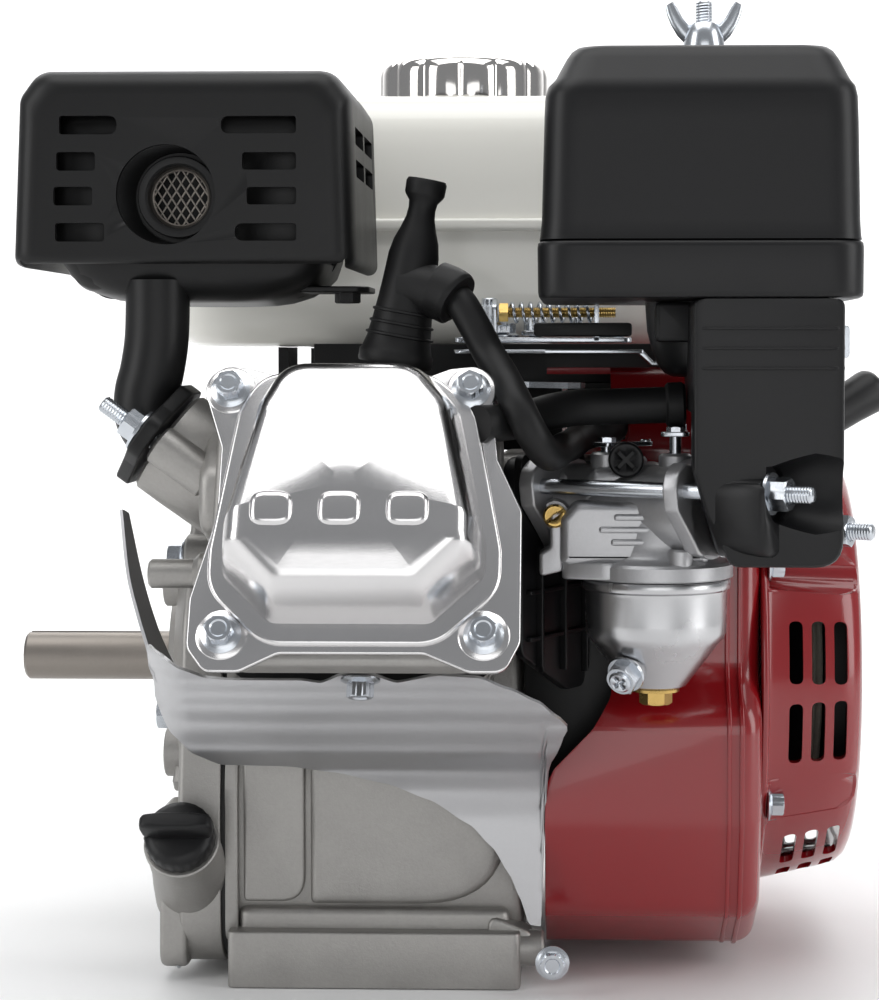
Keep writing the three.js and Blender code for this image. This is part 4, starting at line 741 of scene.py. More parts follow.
def drive_shaft():
    shaft = turned("shaft", DRIVEN, [(38, 10), (38, 21), (15.5, 21.6), (15.5, 30), (12.5, 30.4), (12.5, 84), (10, 86),
                                     (9.52, 88), (9.52, 144.3), (8.4, 145.45), (0.1, 145.45)], 128, 30)
    shaft = carve(shaft, slab("keyway", DRIVEN, rectangle(-2.4, -13, 2.4, -7), 100, 150, 0))
    shaft = carve(shaft, rod("tap", (-124, 0, CRANK_Z), (-148, 0, CRANK_Z), 3.4, 32, 0.01))
    flanks = ((0, -1), (0.3, 1), (0.55, 1), (0.85, -1))
    teeth = [((16.6 + 1.2 * c) * math.cos(a), (16.6 + 1.2 * c) * math.sin(a)) for a, c in
             [(2 * math.pi * (k + d) / 18, c) for k in range(18) for d, c in flanks]]
    return merged("crankshaft_drive_half_looks", [shaft, slab("gear", DRIVEN, teeth, 31, 40, 0.3)])


place(drive_shaft(), "crank", "machined_steel", STEEL, "crankshaft_drive_half")

# %% [markdown]
# ## Crankcase cover and oil filler
# The drive-side cover is bolted on a thin dark gasket. Its nose and bosses are machined flat to take a pump or a
# gearbox, and the slanting neck at the bottom carries a dipstick cap with a grip bar and a fluted edge.
# %% Cover and oil cap
COVER_OUTLINE = [(-88, 3), (88, 3), (90, 60), (84, 130), (45, 184), (-45, 184), (-80, 128), (-90, 60)]


def crankcase_cover():
    parts = [slab("rim", SIDE, rounded(COVER_OUTLINE, 26, 8), -71, -55.6, 0.5, 2.4, 5)]
    parts.append(turned("dome", DRIVEN, [
        (67, 69), (66.5, 71.5), (64, 73.4), (52, 78.4), (48, 79.2), (31.5, 79.3), (30.9, 80), (30.6, 84.1),
        (30.1, 84.5), (20, 84.5), (17, 84.5), (16.8, 82.2), (12.9, 82), (12.9, 76)], 96))
    for deg in (45, 135, 225, 315):
        y, z = 46 * math.cos(math.radians(deg)), CRANK_Z + 46 * math.sin(math.radians(deg))
        boss = rod("boss", (-68, y, z), (-84.5, y, z), 9.4, 40, 0.5)
        parts.append(carve(boss, rod("tap", (-72, y, z), (-86, y, z), 3.6, 24, 0.1)))
        spoke = DRIVEN @ Matrix.Rotation(-math.radians(deg), 4, "Z")
        parts.append(slab("web", spoke, rectangle(30, -3, 62, 3), 68, 80.5, 1.2))
    parts.append(slab("foot", SIDE, rounded([(-88, 4), (-62, 4), (-56, 62), (-86, 62)], 8, 5), -78, -68, 2.0))
    neck_f, _ = along((-67, -74, 32), (-67.3, -102, 53.6))
    parts.append(turned("neck", neck_f, [(15.5, -6), (14.5, 6), (13.2, 18), (12.9, 32), (13.3, 33.4), (13.3, 34.9),
                                         (12.8, 35.3), (8.6, 35.3), (8.5, 10), (0.1, 10)], 64))
    for z, y in ((150, -64), (96.5, -86.5), (34, 84), (96.5, 84), (150, 60)):
        parts.append(rod("ear", (-56, y, z), (-71.2, y, z), 9, 32, 0.8))
    return merged("crankcase_cover_looks", parts)


place(crankcase_cover(), "engine_block", "cast_aluminium", CAST, "crankcase_cover")
place(slab("joint_gasket", SIDE, inset(rounded(COVER_OUTLINE, 26, 8), 1.4), -55.5, -54.1, 0.1), "engine_block",
      "heat_black", DARK)
place(flange_bolt("cover_bolt_looks", frame_at((-71.4, -79, 10), (-1, 0, 0), (0, 1, 0)), 10, 7.2, 6.8),
      "engine_block", "zinc_plated", ZINC, "cover_bolt")
for i, (y, z) in enumerate(((-86.5, 96.5), (-64, 150), (60, 150), (84, 96.5), (84, 34))):
    place(flange_bolt(f"cover_bolt_more_{i + 1}", frame_at((-71.4, y, z), (-1, 0, 0), (0, 1, 0)), 10, 7.2, 6.6),
          "engine_block", "zinc_plated", ZINC)


def oil_cap():
    mouth = frame_at((-67.3, -102, 53.6), (0, -0.7915, 0.6112), (1, 0, 0))
    sides, rings = 96, []
    for r, z in ((3, -43), (3, -14), (7.4, -12), (7.4, 0.5), (12.0, 0.5), (12.4, 1.2), (12.4, 6.0), (11.6, 7.6),
                 (9.2, 8.8), (0.1, 9.4)):
        flute = 0.35 if r > 11.9 else 0.0
        turns = [2 * math.pi * i / sides for i in range(sides)]
        reach = [r - flute * (0.5 + 0.5 * math.cos(24 * a)) for a in turns]
        rings.append([(k * math.cos(a), k * math.sin(a), z) for k, a in zip(reach, turns)])
    cap = loft("cap", rings, mouth, 50)
    bar = rounded([(-12.8, -2.6), (-6, -3.6), (6, -3.6), (12.8, -2.6), (12.8, 2.6), (6, 3.6), (-6, 3.6), (-12.8, 2.6)],
                  2, 4)
    grip = [[(x * k, y * k * 0.9, z) for x, y in bar]
            for z, k in ((7, 0.9), (9, 0.97), (13, 1.0), (15.6, 0.98), (16.8, 0.93), (17.3, 0.84), (17.4, 0.6))]
    return merged("oil_cap_looks", [cap, loft("grip", grip, mouth, 60)])


place(oil_cap(), "oil_cap", "black_plastic", PLASTIC, "oil_filler_cap")
print("crankcase, cover and oil cap done")

# %% [markdown]
# ## Sheet baffle under the cylinder
# A pressing that steers the cooling air: it hangs from the head by one bolt, leans back under the fins, then drops
# along the crankcase to the foot. It is built as one curved surface, column by column between its wavy upper edge
# and its sweeping lower edge, and given the thickness of the sheet afterwards.
# %% Baffle
def between(table, t):
    for (t0, v0), (t1, v1) in zip(table, table[1:]):
        if t <= t1:
            k = (t - t0) / (t1 - t0)
            k = max(0.0, min(1.0, k))
            k = k * k * (3 - 2 * k) * 0.35 + k * 0.65
            return v0 + (v1 - v0) * k
    return table[-1][1]


SHEET_DEPTH = [(20, -97.4), (62, -97.4), (72, -99.5), (80, -104.5), (90, -121), (100, -131), (107, -138),
               (112, -142), (117, -146), (122, -151), (126, -154)]
TOP_EDGE = [(-72, 128), (-66, 126), (-59, 121.5), (-51, 118.3), (-44, 117.6), (-20, 117.6), (-13, 116.6),
            (-5, 120), (3, 120), (12, 116.6), (26, 119.5), (39, 118.6), (49.5, 114.2), (59, 109.4), (65.5, 103.5),
            (68.6, 100)]
LOW_EDGE = [(-72, 110), (-66, 96), (-60, 88), (-52, 82.5), (-30, 82), (-12, 79), (4, 75), (20, 68.5), (34, 59.5),
            (42, 51.5), (48, 42), (52, 33), (55, 24), (59.6, 23.6), (60.2, 60), (60.8, 78), (63.5, 86), (68.6, 99)]


def baffle():
    bm = bmesh.new()
    columns, rows = 120, 44
    grid = []
    for i in range(columns + 1):
        x = -71.5 + (68.4 + 71.5) * i / columns
        low, top = between(LOW_EDGE, x), between(TOP_EDGE, x)
        curl = max(0.0, (-58 - x) / 14)
        column = []
        for j in range(rows + 1):
            z = low + (top - low) * j / rows
            y = between(SHEET_DEPTH, z) + 0.9 * math.sin(x * 0.06) * max(0.0, min(1.0, (z - 85) / 20))
            y += 16 * curl * curl * max(0.0, min(1.0, (z - 92) / 20))
            column.append(bm.verts.new((x, y, z)))
        grid.append(column)
    for a, b in zip(grid, grid[1:]):
        for j in range(rows):
            bm.faces.new((a[j], b[j], b[j + 1], a[j + 1]))
    obj = from_bmesh("baffle_face", bm, UPRIGHT, 60)
    mod = obj.modifiers.new("thick", "SOLIDIFY")
    mod.thickness, mod.offset = 1.1 * MM, 0
    apply_modifiers(obj)
    shade(obj, 40)
    wing_rows = [[(-83.6, -112, 170), (-84.6, -114, 171), (-85.2, -116, 171.5)],
                 [(-79.2, -111, 148), (-81, -116, 149), (-82, -121, 150)],
                 [(-74.8, -110, 132), (-76.5, -118, 134), (-77.6, -126, 136)],
                 [(-70.4, -108, 120), (-72, -118, 122), (-73.5, -130, 125)],
                 [(-64, -104, 106), (-67, -116, 109), (-71.6, -133, 118)],
                 [(-58, -100, 95), (-61, -112, 99), (-66, -130, 108)]]
    dense = [smooth_path(row, 10) for row in wing_rows]
    strips = [smooth_path([row[k] for row in dense], 30) for k in range(11)]
    bm = bmesh.new()
    verts = [[bm.verts.new(p) for p in strip] for strip in strips]
    for a, b in zip(verts, verts[1:]):
        for j in range(30):
            bm.faces.new((a[j], a[j + 1], b[j + 1], b[j]))
    wing = from_bmesh("wing", bm, UPRIGHT, 60)
    mod = wing.modifiers.new("thick", "SOLIDIFY")
    mod.thickness, mod.offset = 1.1 * MM, 0
    apply_modifiers(wing)
    return merged("cylinder_baffle_looks", [obj, shade(wing, 40)])


place(baffle(), "engine_block", "bright_sheet", SHEET, "cylinder_baffle")
place(flange_bolt("baffle_bolt_looks", frame_at((0.5, -150, 118.4), (0, -0.35, -0.94), (1, 0, 0)), 8, 6.6, 6.6),
      "engine_block", "zinc_plated", ZINC, "baffle_bolt")
print("baffle done")

# %% [markdown]
# ## Muffler
# A heat shield of thin painted steel round a pressed can. The shield is a box drawn with large radii at the front
# and softly sloping sides; its louvres are punched, so their edges are crisp and one sees the dark can behind. The
# outlet is a short tube with a screen of crossed wires, and a bent pipe leads down to the flange on the head.
# %% Muffler
def muffler_shield():
    def section(y, grow, z_drop=0.0):
        left, right, low, top = -117 + grow, -4.5 - grow, 254 + grow * 0.4, 320 - grow - z_drop
        outline = [(left - 0.8, low), (right + 2.2, low), (right + 0.6, top - 9), (right - 5.5, top),
                   (left + 8, top), (left + 1.4, top - 9)]
        return [(x, z, -y) for x, z in rounded(outline, [4, 4, 7, 9, 9, 7], 8)]
    rings = [section(y, g) for y, g in ((-40, 1.5), (-44, 0.4), (-50, 0), (-90, 0), (-128, 0), (-132.5, 0.4),
                                        (-135.6, 1.3), (-137.8, 2.7), (-139.2, 4.6), (-139.9, 6.8), (-140, 9))]
    shell = loft("muffler_shield_looks", rings, FRONT, 50)
    inner = [[(x * 0.964 - 2.2, 254 + (z - 254) * 0.95 - 2, w) for x, z, w in section(y, 1.2)]
             for y in (-30, -80, -130, -134, -136.6, -137.8)]
    inner = loft("inner", [[(x, z, min(w, 137.9)) for x, z, w in ring] for ring in inner], FRONT, 50)
    carve(shell, inner)
    cuts = [slab("hole", FRONT, circle(16.6, -65, 278, 72), 125, 150, 0)]
    for k, z in enumerate((301, 289, 277.5, 265.5)):
        left = (-100.5, -101.5, -102.5, -102)[k]
        right = (-81.2, -88.5, -89.5, -85.6)[k]
        cuts.append(slab("slot", FRONT, rounded(rectangle(left, z - 3.1, right, z + 3.1),
                                                [1.2, 3, 3, 1.2] if k == 0 else 1.2, 5), 130, 150, 0))
        left = (-46.5, -39.5, -38, -42)[k]
        cuts.append(slab("slot", FRONT, rounded(rectangle(left, z - 2.9, -21.5, z + 2.9),
                                                [3, 1.2, 1.2, 3] if k in (0, 3) else 1.2, 5), 130, 150, 0))
    for z in (288, 299):
        for y in (-122, -88):
            cuts.append(slab("slot", SIDE, rounded(rectangle(y, z - 3, y + 29, z + 3), 1.2, 4), -14, 6, 0))
    for y in (-112, -70):
        cuts.append(slab("slot", SIDE, rounded(rectangle(y, 285, y + 26, 291), 1.2, 4), -125, -108, 0))
    carve(shell, *cuts)
    return soften(shell, 0.35, 2, 50, 50)


place(muffler_shield(), "engine_block", "heat_black", HEAT_BLACK, "muffler_shield")
PIPE = [(-68.2, -125, 196.4), (-72, -125, 199.5), (-74.6, -125, 205), (-74.4, -125, 212), (-72.6, -125, 219),
        (-71, -125, 229), (-70.5, -125, 240), (-70.5, -125, 250)]


def muffler_body():
    can = [[(x, z, w) for x, z in rounded([(-108 + g, 262), (-96 + g * 0.6, 246 + g), (-26 - g * 0.6, 246 + g),
                                           (-14 - g, 256), (-14 - g, 300), (-24, 311 - g), (-98, 311 - g),
                                           (-108 + g, 300)], 10, 6)]
           for w, g in ((50, 8), (50.6, 4), (53, 1), (58, 0), (88, 0), (88.5, -1.6), (92, -1.6), (92.5, 0),
                        (122, 0), (128, 1), (131, 4), (132, 8))]
    dome = [[(x, y, z) for x, y in rounded(rectangle(-103 + g, -134 + g * 0.5, -14 - g, -52), 16, 8)]
            for z, g in ((256, 0), (252, 1.5), (248.6, 5), (245.6, 10), (243.4, 17), (242.6, 23), (242.4, 28))]
    pipe = tube("pipe", PIPE, 10.8, 60, 40)
    flange = slab("flange", EXHAUST, rounded([(-28, -6), (-20, -11), (-10, -19), (10, -19), (20, -11), (28, -6),
                                              (28, 6), (20, 11), (10, 19), (-10, 19), (-20, 11), (-28, 6)], 6, 5),
                  0.8, 5.8, 0.8, 0.8)
    weld = tube("weld", [EXHAUST @ Vector((11.6 * math.cos(a), 11.6 * math.sin(a), 6.4))
                         for a in [2 * math.pi * i / 24 for i in range(25)]], 1.3, 72, 10)
    outlet_f = frame_at((-61.2, -120, 277.3), (0, -1, 0), (1, 0, 0))
    outlet = turned("outlet", outlet_f, [(13.7, 0), (13.7, 16.6), (13.3, 17.3), (12.6, 17.4), (11.2, 17.1),
                                         (10.5, 16.2), (10.4, 14), (10.4, 4), (0.1, 4)], 72)
    collar = turned("collar", outlet_f, [(16, 8), (16, 11.4), (15, 12.4), (13, 12.4), (13, 8)], 72,
                    loop=True)
    tab = slab("tab", UPRIGHT, rounded([(-40, -86), (-2, -86), (0.4, -90), (0.4, -113), (-3, -117.6), (-40, -117.6)],
                                       3, 5), 246.2, 248.2, 0.5, 0.5)
    tab_screw = hexagon("tab_screw", frame_at((-8, -104, 246.2), (0, 0, -1), (1, 0, 0)), 8, 0, 3.6)
    shell = carve(loft("can", can, FRONT, 50), turned("bore", outlet_f, [(12.8, 2), (12.8, 30)], 48))
    return merged("muffler_body_looks", [shell, loft("dome", dome, UPRIGHT, 60), pipe, flange,
                                         weld, outlet, collar, tab, tab_screw])


place(muffler_body(), "engine_block", "heat_black", HEAT_BLACK, "muffler_body")


def spark_screen():
    parts = [turned("rim", frame_at((-61.2, -129.6, 277.3), (0, -1, 0), (1, 0, 0)),
                    [(10.3, 0), (10.3, 2.6), (9.4, 3), (9.0, 2.6), (9.0, 0)], 64, loop=True)]
    for sign in (-1, 1):
        for k in range(-3, 4):
            off = k * 2.7
            half = math.sqrt(max(0.0, 9.5 ** 2 - off ** 2))
            d, n = Vector((math.cos(1.0), 0, sign * math.sin(1.0))), Vector((-sign * math.sin(1.0), 0, math.cos(1.0)))
            c = Vector((-61.2, -131.4 + 0.28 * sign, 277.3)) + n * off
            parts.append(tube("wire", [c - d * half, c + d * half], 0.34, sides=8, straight=True))
    return merged("spark_arrestor_looks", parts)


place(spark_screen(), "engine_block", "zinc_plated", STEEL, "spark_arrestor")
for i, t in enumerate((-20, 20)):
    stud = merged(f"exhaust_stud_{i + 1}", [
        threaded("stud", EXHAUST @ Matrix.Translation((t, 0, 0)), 3.0, 0.5, 22, 1.0),
        turned("washer", EXHAUST @ Matrix.Translation((t, 0, 6.0)),
               [(7.4, 0), (7.6, 0.3), (7.4, 1.2), (3.4, 1.4)], 40),
        hexagon("nut", EXHAUST @ Matrix.Translation((t, 0, 7.2)), 10, 0, 5.2, 0, True, 72, 3.2)])
    place(stud, "engine_block", "zinc_plated", ZINC, ("exhaust_stud_front", "exhaust_stud_rear")[i])
print("muffler done")

# %% [markdown]
# ## Fuel tank and cap
# Two deep-drawn shells folded together at a seam, enamelled ivory. Drawing steel needs big corner radii, so the
# sections shrink gently towards the top. The cap's chrome skirt is fluted for grip; its centre sinks to a flat.
# %% Tank
def tank_shell(name, levels):
    """Each level holds a height and how far the section is drawn in from the tank's widest outline."""
    return loft(name, [[(x, y, z) for x, y in rounded(rectangle(-92 + d, -10 + d, 130 - d, 150 - d), 30 - d, 12)]
                       for z, d in levels], UPRIGHT, 60)


upper = tank_shell("upper", [(275.2, 4), (275.2, 0), (279, 0), (304, 1.2), (311, 1.8), (316, 3.0), (320, 5.2),
                             (323.4, 8.4), (325.6, 12.4), (326.6, 17), (327.0, 22)])
neck = turned("neck", at(UPRIGHT, 24, 72, 0), [(27, 324), (25.5, 328), (24, 330.6), (21, 330.9), (21, 326)], 64)
upper = merged("tank_upper_looks", [upper, neck])
place(upper, "engine_block", "ivory_enamel", IVORY, "fuel_tank_upper")
lower = tank_shell("tank_lower", [(274.8, 0), (274.8, 0.1), (262, 0), (246, 0.6), (238, 2.0), (233, 4.6),
                                  (229.8, 8.4), (228.2, 13), (228, 18)])
fold = tank_shell("fold", [(272.6, -2), (272.9, -2.7), (273.8, -3), (276.2, -3), (277.1, -2.7), (277.4, -2),
                           (277.4, 1)])
place(merged("tank_lower_looks", [lower, fold]), "engine_block", "ivory_enamel", IVORY, "fuel_tank_lower")


def fuel_cap():
    sides, rings = 240, []
    levels = [(34.2, 328.4, 0.2), (35.2, 328.9, 0.7), (35.6, 331, 1.0), (35.6, 341, 1.0), (35.1, 343.6, 0.9),
              (33.8, 345.6, 0.6), (31.6, 346.7, 0.2), (29.0, 347.0, 0.0), (27.4, 346.4, 0), (26.4, 345.0, 0),
              (25.6, 344.4, 0), (8, 344.6, 0), (0.1, 344.6, 0)]
    for r, z, flute in levels:
        ring = []
        for i in range(sides):
            a = 2 * math.pi * i / sides
            lobe = abs(math.cos(7 * a)) ** 0.5
            rr = r - flute * 1.7 * (1 - lobe)
            ring.append((24 + rr * math.cos(a), 72 + rr * math.sin(a), z))
        rings.append(ring)
    return loft("fuel_cap_looks", rings, UPRIGHT, 50)


place(fuel_cap(), "fuel_cap", "bright_chrome", CHROME, "fuel_cap")
print("tank done")

# %% [markdown]
# ## Air cleaner and its elbow
# Two moulded boxes: a tray with a turned-down skirt and a deep cover with a sloping roof, held by one wing nut on a
# long stud. Mouldings need draft, so every level is drawn in a little from the one below. The elbow carries the air
# down to the carburettor; three ribs stiffen it and two round recesses take the nuts of the long studs.
# %% Air cleaner
def box_levels(name, levels, smooth=55):
    """A moulded box by its levels of (z, left, front, right, back, corner radius)."""
    return loft(name, [[(x, y, z) for x, y in rounded(rectangle(x0, y0, x1, y1), r, 8)]
                       for z, x0, y0, x1, y1, r in levels], UPRIGHT, smooth)


def cleaner_cover():
    return box_levels("air_cleaner_cover_looks", [
        (261.9, 59.4, -165.6, 163.5, -49.4, 12), (263, 59.6, -165.4, 163.3, -49.6, 12),
        (268, 60.1, -165.0, 163.0, -50.0, 12), (300, 60.9, -164.6, 162.4, -50.4, 12),
        (308, 61.2, -164.4, 162.1, -50.8, 12), (311.4, 62.2, -163.8, 161.4, -51.8, 12),
        (313.8, 64.4, -162.2, 159.8, -53.8, 12), (320.5, 67.9, -158.6, 156.6, -57.0, 11),
        (323.2, 69.6, -156.8, 155.0, -58.8, 11), (324.5, 71.4, -155.0, 153.2, -60.6, 10),
        (325.0, 74.0, -152.4, 150.6, -63.2, 9)])


def cleaner_case():
    return box_levels("air_cleaner_case_looks", [
        (243.2, 62.0, -163.0, 161.2, -52.0, 11), (243.0, 60.2, -164.6, 162.8, -50.4, 12),
        (243.6, 59.2, -165.6, 163.8, -49.4, 12), (245, 58.9, -166.0, 164.1, -49.0, 12.6),
        (259.4, 58.7, -166.2, 164.2, -48.8, 12.8), (260.8, 58.9, -166.0, 164.0, -49.0, 12.8),
        (261.5, 59.8, -165.2, 163.2, -49.8, 12)])


place(cleaner_cover(), "engine_block", "black_plastic", PLASTIC, "air_cleaner_cover")
place(cleaner_case(), "engine_block", "black_plastic", PLASTIC, "air_cleaner_case")


def elbow():
    def column(w, g):
        return [(x, z, w) for x, z in rounded([(109 + g, 187), (113 + g, 174), (121 + g, 156.5 + g),
                                               (157 - g, 156.5 + g), (157.2 - g, 242.7), (108.8 + g, 242.7)],
                                              [2, 6, 5, 9, 3, 3], 6)]
    body = loft("column", [column(w, g) for w, g in ((100, 1.5), (101.5, 0.4), (103, 0), (163.4, 0), (164.3, 0.3),
                                                     (164.8, 0.8), (165, 1.6))], FRONT, 40)
    body = carve(body, slab("slant", PORT, rectangle(-70, -70, 70, 33), -110, -35.2, 0))
    foot = slab("foot", PORT, rounded([(-31, -13.5), (31, -13.5), (31, 6), (20, 12), (-31, 12)], [11, 11, 6, 6, 6], 8),
                -35.3, -3, 3.0, 1.2, 6)
    facet = slab("facet", FRONT, rounded([(117.5, 181), (133, 194.8), (141, 187), (141, 174), (124, 174)],
                                         [1, 1.5, 4, 4, 4], 6), 158, 167.2, 1.0, 0, 4)
    recesses = [(at(PORT, t, h), seat) for t, h, seat in ((-21.1, 7.25, -6.8), (21.1, -7.25, -3.6))]
    body, foot, facet = [
        carve(o, *[turned("recess", f, [(9, seat), (9, seat + 2), (14, seat + 14), (16, seat + 40)], 48)
                   for f, seat in recesses]) for o in (body, foot, facet)]
    shade(body, 22)
    side = rounded([(80, 140), (80, 215), (109.4, 215), (109.4, 187), (113, 174), (119.6, 155), (121, 140)],
                   [1, 1, 1, 2, 6, 3, 1], 5)
    foot = carve(foot, slab("side", FRONT, side, 60, 185, 0))
    belly = [[(115 + r * math.cos(a), -108 + r * math.sin(a), z) for a in
              [2 * math.pi * i / 64 for i in range(64)]]
             for z, r in ((217.2, 9), (217.4, 11), (218.6, 13.4), (221, 15.4), (226, 17.6), (233, 19.3), (242.7, 20))]
    parts = [body, foot, loft("belly", belly, UPRIGHT, 60)]
    parts.append(slab("web", FRONT, rounded(rectangle(98, 229, 112, 242.7), 2, 4), 106, 128, 1.5))
    for z in (233.3, 226.9, 220.5):
        parts.append(slab("rib", UPRIGHT, rounded(rectangle(108.9, -165.5, 157.6, -112), 5, 6), z - 0.6, z + 0.6, 0.4,
                          0.4, 3))
    return merged("air_cleaner_elbow_looks", [*parts, facet])


place(elbow(), "engine_block", "black_plastic", PLASTIC, "air_cleaner_elbow")
place(slab("case_tab", FRONT, rounded(rectangle(150, 223.6, 166.4, 235), 1.6, 4), 98, 99.4, 0.3, 0.3), "engine_block",
      "zinc_plated", ZINC)
place(threaded("air_cleaner_stud_looks", at(UPRIGHT, 115, -108), 3.0, 222, 345.8, 1.0), "engine_block", "zinc_plated",
      ZINC, "air_cleaner_stud")


def wing_nut():
    f = at(UPRIGHT, 115, -108)
    washer = turned("washer", f, [(12.4, 325.3), (12.6, 325.7), (11.4, 326.8), (8.2, 328.4), (6.6, 329.0),
                                  (3.4, 329.2)], 64)
    hub = turned("hub", f, [(7.0, 329.2), (7.3, 330.0), (6.4, 334.4), (5.6, 337.4), (5.0, 338.0), (3.3, 338.0)], 48)
    wings = []
    for side in (-1, 1):
        path = [(side * x, z, w) for x, z, w in ((4.0, 333.2, 6.4), (6.6, 335.4, 5.8), (9.2, 338.8, 4.8),
                                                 (10.8, 342.2, 4.4), (11.9, 345.0, 3.0))]
        rings = []
        for k, (x, z, w) in enumerate(path):
            rings.append([(x + w * 0.43 * math.cos(a), 1.6 * (1 - 0.12 * k) * math.sin(a),
                           z - side * w * 0.5 * math.cos(a) * 0.5) for a in [2 * math.pi * i / 24 for i in range(24)]])
        wings.append(loft("wing", rings, f, 70))
    return merged("wing_nut_looks", [washer, hub, *wings])


place(wing_nut(), "wing_nut", "zinc_plated", ZINC, "wing_nut")
print("air cleaner done")

# %% [markdown]
# ## Fan cover and recoil starter
# Deep-drawn sheet under glossy red enamel. The fan cover is a scroll: its outline grows round the flywheel, and the
# front edge is trimmed back to clear the carburettor. The recoil cover is spun round the crank axis and then
# punched with rows of slots between scalloped bolt seats, so the fan can breathe through it. Behind the slots one
# sees turns of rope on the pulley and the dark case of the recoil spring, so both are drawn.
# %% Fan cover and starter
FAN_OUTLINE = [(-58, 8), (-88, 26), (-100, 60), (-100, 98), (-85, 112), (-85, 196), (-62, 220), (30, 220), (74, 190),
               (100, 146), (104, 106), (94, 48), (60, 8)]


def fan_cover():
    outline = rounded(FAN_OUTLINE, 15, 8)
    shell = slab("fan_cover_looks", SIDE, outline, 60.5, 137, 7.5, 0.4, 8, 50)
    inner = slab("inner", SIDE, inset(outline, 2.4), 58, 134.6, 5, 0, 6)
    notch = slab("notch", FRONT, rounded([(50, 74.4), (61.2, 74.4), (63.7, 79.6), (77.3, 93.6), (83.9, 104.4),
                                          (83.9, 240), (50, 240)], [1, 2, 6, 10, 8, 1, 1], 6), 50, 120, 0)
    mouth = rod("mouth", (120, 0, CRANK_Z), (145, 0, CRANK_Z), 70, 96, 0.1)
    grommet = rod("grommet", (82.5, -92, 197.4), (85, -58, 200.5), 7.2, 32, 0.1)
    carve(shell, inner)
    carve(shell, notch, mouth)
    carve(shell, grommet)
    soften(shell, 0.45, 2, 50, 50)
    parts = [shell]
    parts.append(slab("groove_lip", FRONT, rounded(rectangle(62, 10.5, 131, 12.5), 0.9, 3), 60, 62.5, 0.4))
    for x0, g in ((128.6, 0.9), (124.2, 0.6)):
        rim = slab("ridge", SIDE, inset(outline, -g), x0, x0 + 1.7, 0.5, 0.5, 3)
        carve(rim, slab("in", SIDE, inset(outline, 2.4), x0 - 1, x0 + 4, 0))
        parts.append(rim)
    return merged("fan_cover_looks", parts)


STARTER = frame_at((0, 0, CRANK_Z), (1, 0, 0), (0, 1, 0))


def recoil_cover():
    shell = turned("recoil_cover_looks", STARTER, [
        (80, 137.4), (88, 137.4), (88.6, 137.9), (88.6, 139.2), (88, 139.8), (85.6, 140.4), (85, 141.6), (83.4, 149),
        (80.9, 160), (79.6, 166.4), (78.2, 170.2), (75.9, 173.0), (72.6, 174.6), (69, 175.0), (50, 175.0), (47, 174.4),
        (45, 173.2), (20, 173.2), (17, 174.2), (0.1, 174.4)], 160, 40)
    inner = turned("inner", STARTER, [(82.6, 136), (82.6, 141), (80.9, 149), (78.4, 160), (77, 166), (75.6, 169.4),
                                      (73, 171.6), (69, 172.4), (0.1, 171.2)], 160)
    carve(shell, inner)
    cuts = []
    for group in range(6):
        for row in (-10.2, 10.2):
            angle = math.radians(60 * group + row - 1.5)
            out = Vector((0, -math.cos(angle), math.sin(angle)))
            f = frame_at(Vector((0, 0, CRANK_Z)) + out * 62, out, (1, 0, 0))
            for x0, x1 in ((147.4, 152.4), (155.6, 160.6), (163.8, 168.6)):
                cuts.append(slab("slot", f, rounded(rectangle(x0, -11.2, x1, 11.2), 2.45, 6), 0, 30, 0))
    carve(shell, *cuts)
    face = []
    for k in range(8):
        a = math.radians(45 * k)
        f = frame_at((160, 30 * math.cos(a), CRANK_Z + 30 * math.sin(a)), (1, 0, 0), (0, math.cos(a), math.sin(a)))
        face.append(slab("face_slot", f, rounded(rectangle(-3, -3.2, 10.5, 3.2), 3.1, 6), 0, 30, 0))
    seats = []
    for k in range(6):
        a = math.radians(30 + 60 * k)
        y, z = -86.4 * math.cos(a), CRANK_Z + 86.4 * math.sin(a)
        seats.append(rod("seat", (140.6, y, z), (182, y, z), 8.6, 48, 0.1, 12.5))
    rope = rod("rope", (149, -40, 150), (149, -82, 186), 6.6, 32, 0.1)
    carve(shell, *face)
    carve(shell, *seats)
    carve(shell, rope)
    soften(shell, 0.5, 2, 45, 45)
    eyelet = turned("eyelet", along((149, -52, 160.3), (149, -82, 186))[0],
                    [(9.2, 0), (9.6, 2.4), (9.2, 4), (7.2, 5.2), (5.2, 4.6), (4.2, 3), (4.2, 0)], 48, loop=True)
    place(eyelet, "engine_block", "black_plastic", PLASTIC)
    for k in (0, 2, 5):
        a = math.radians(30 + 60 * k)
        y, z = -86.0 * math.cos(a), CRANK_Z + 86.0 * math.sin(a)
        place(flange_bolt(f"starter_bolt_{k}", frame_at((140.2, y, z), (1, 0, 0), (0, 1, 0)), 8, 6.2, 6.0),
              "engine_block", "zinc_plated", ZINC)
    seat_cups = []
    for k in range(6):
        a = math.radians(30 + 60 * k)
        y, z = -86.4 * math.cos(a), CRANK_Z + 86.4 * math.sin(a)
        cup = rod("cup", (138.6, y, z), (172, y, z), 9.6, 48, 0.3, 12.9)
        carve(cup, rod("bore", (140.4, y, z), (182, y, z), 8.6, 48, 0.1, 12.4))
        keep = turned("keep", STARTER, [(88.4, 137.5), (88.2, 139.8), (85.2, 141.4), (83.2, 149), (80.7, 160),
                                        (79.3, 166.4), (76, 172)], 96)
        boolean(cup, [keep], "INTERSECT")
        seat_cups.append(cup)
    return merged("recoil_cover_looks", [shell, *seat_cups])


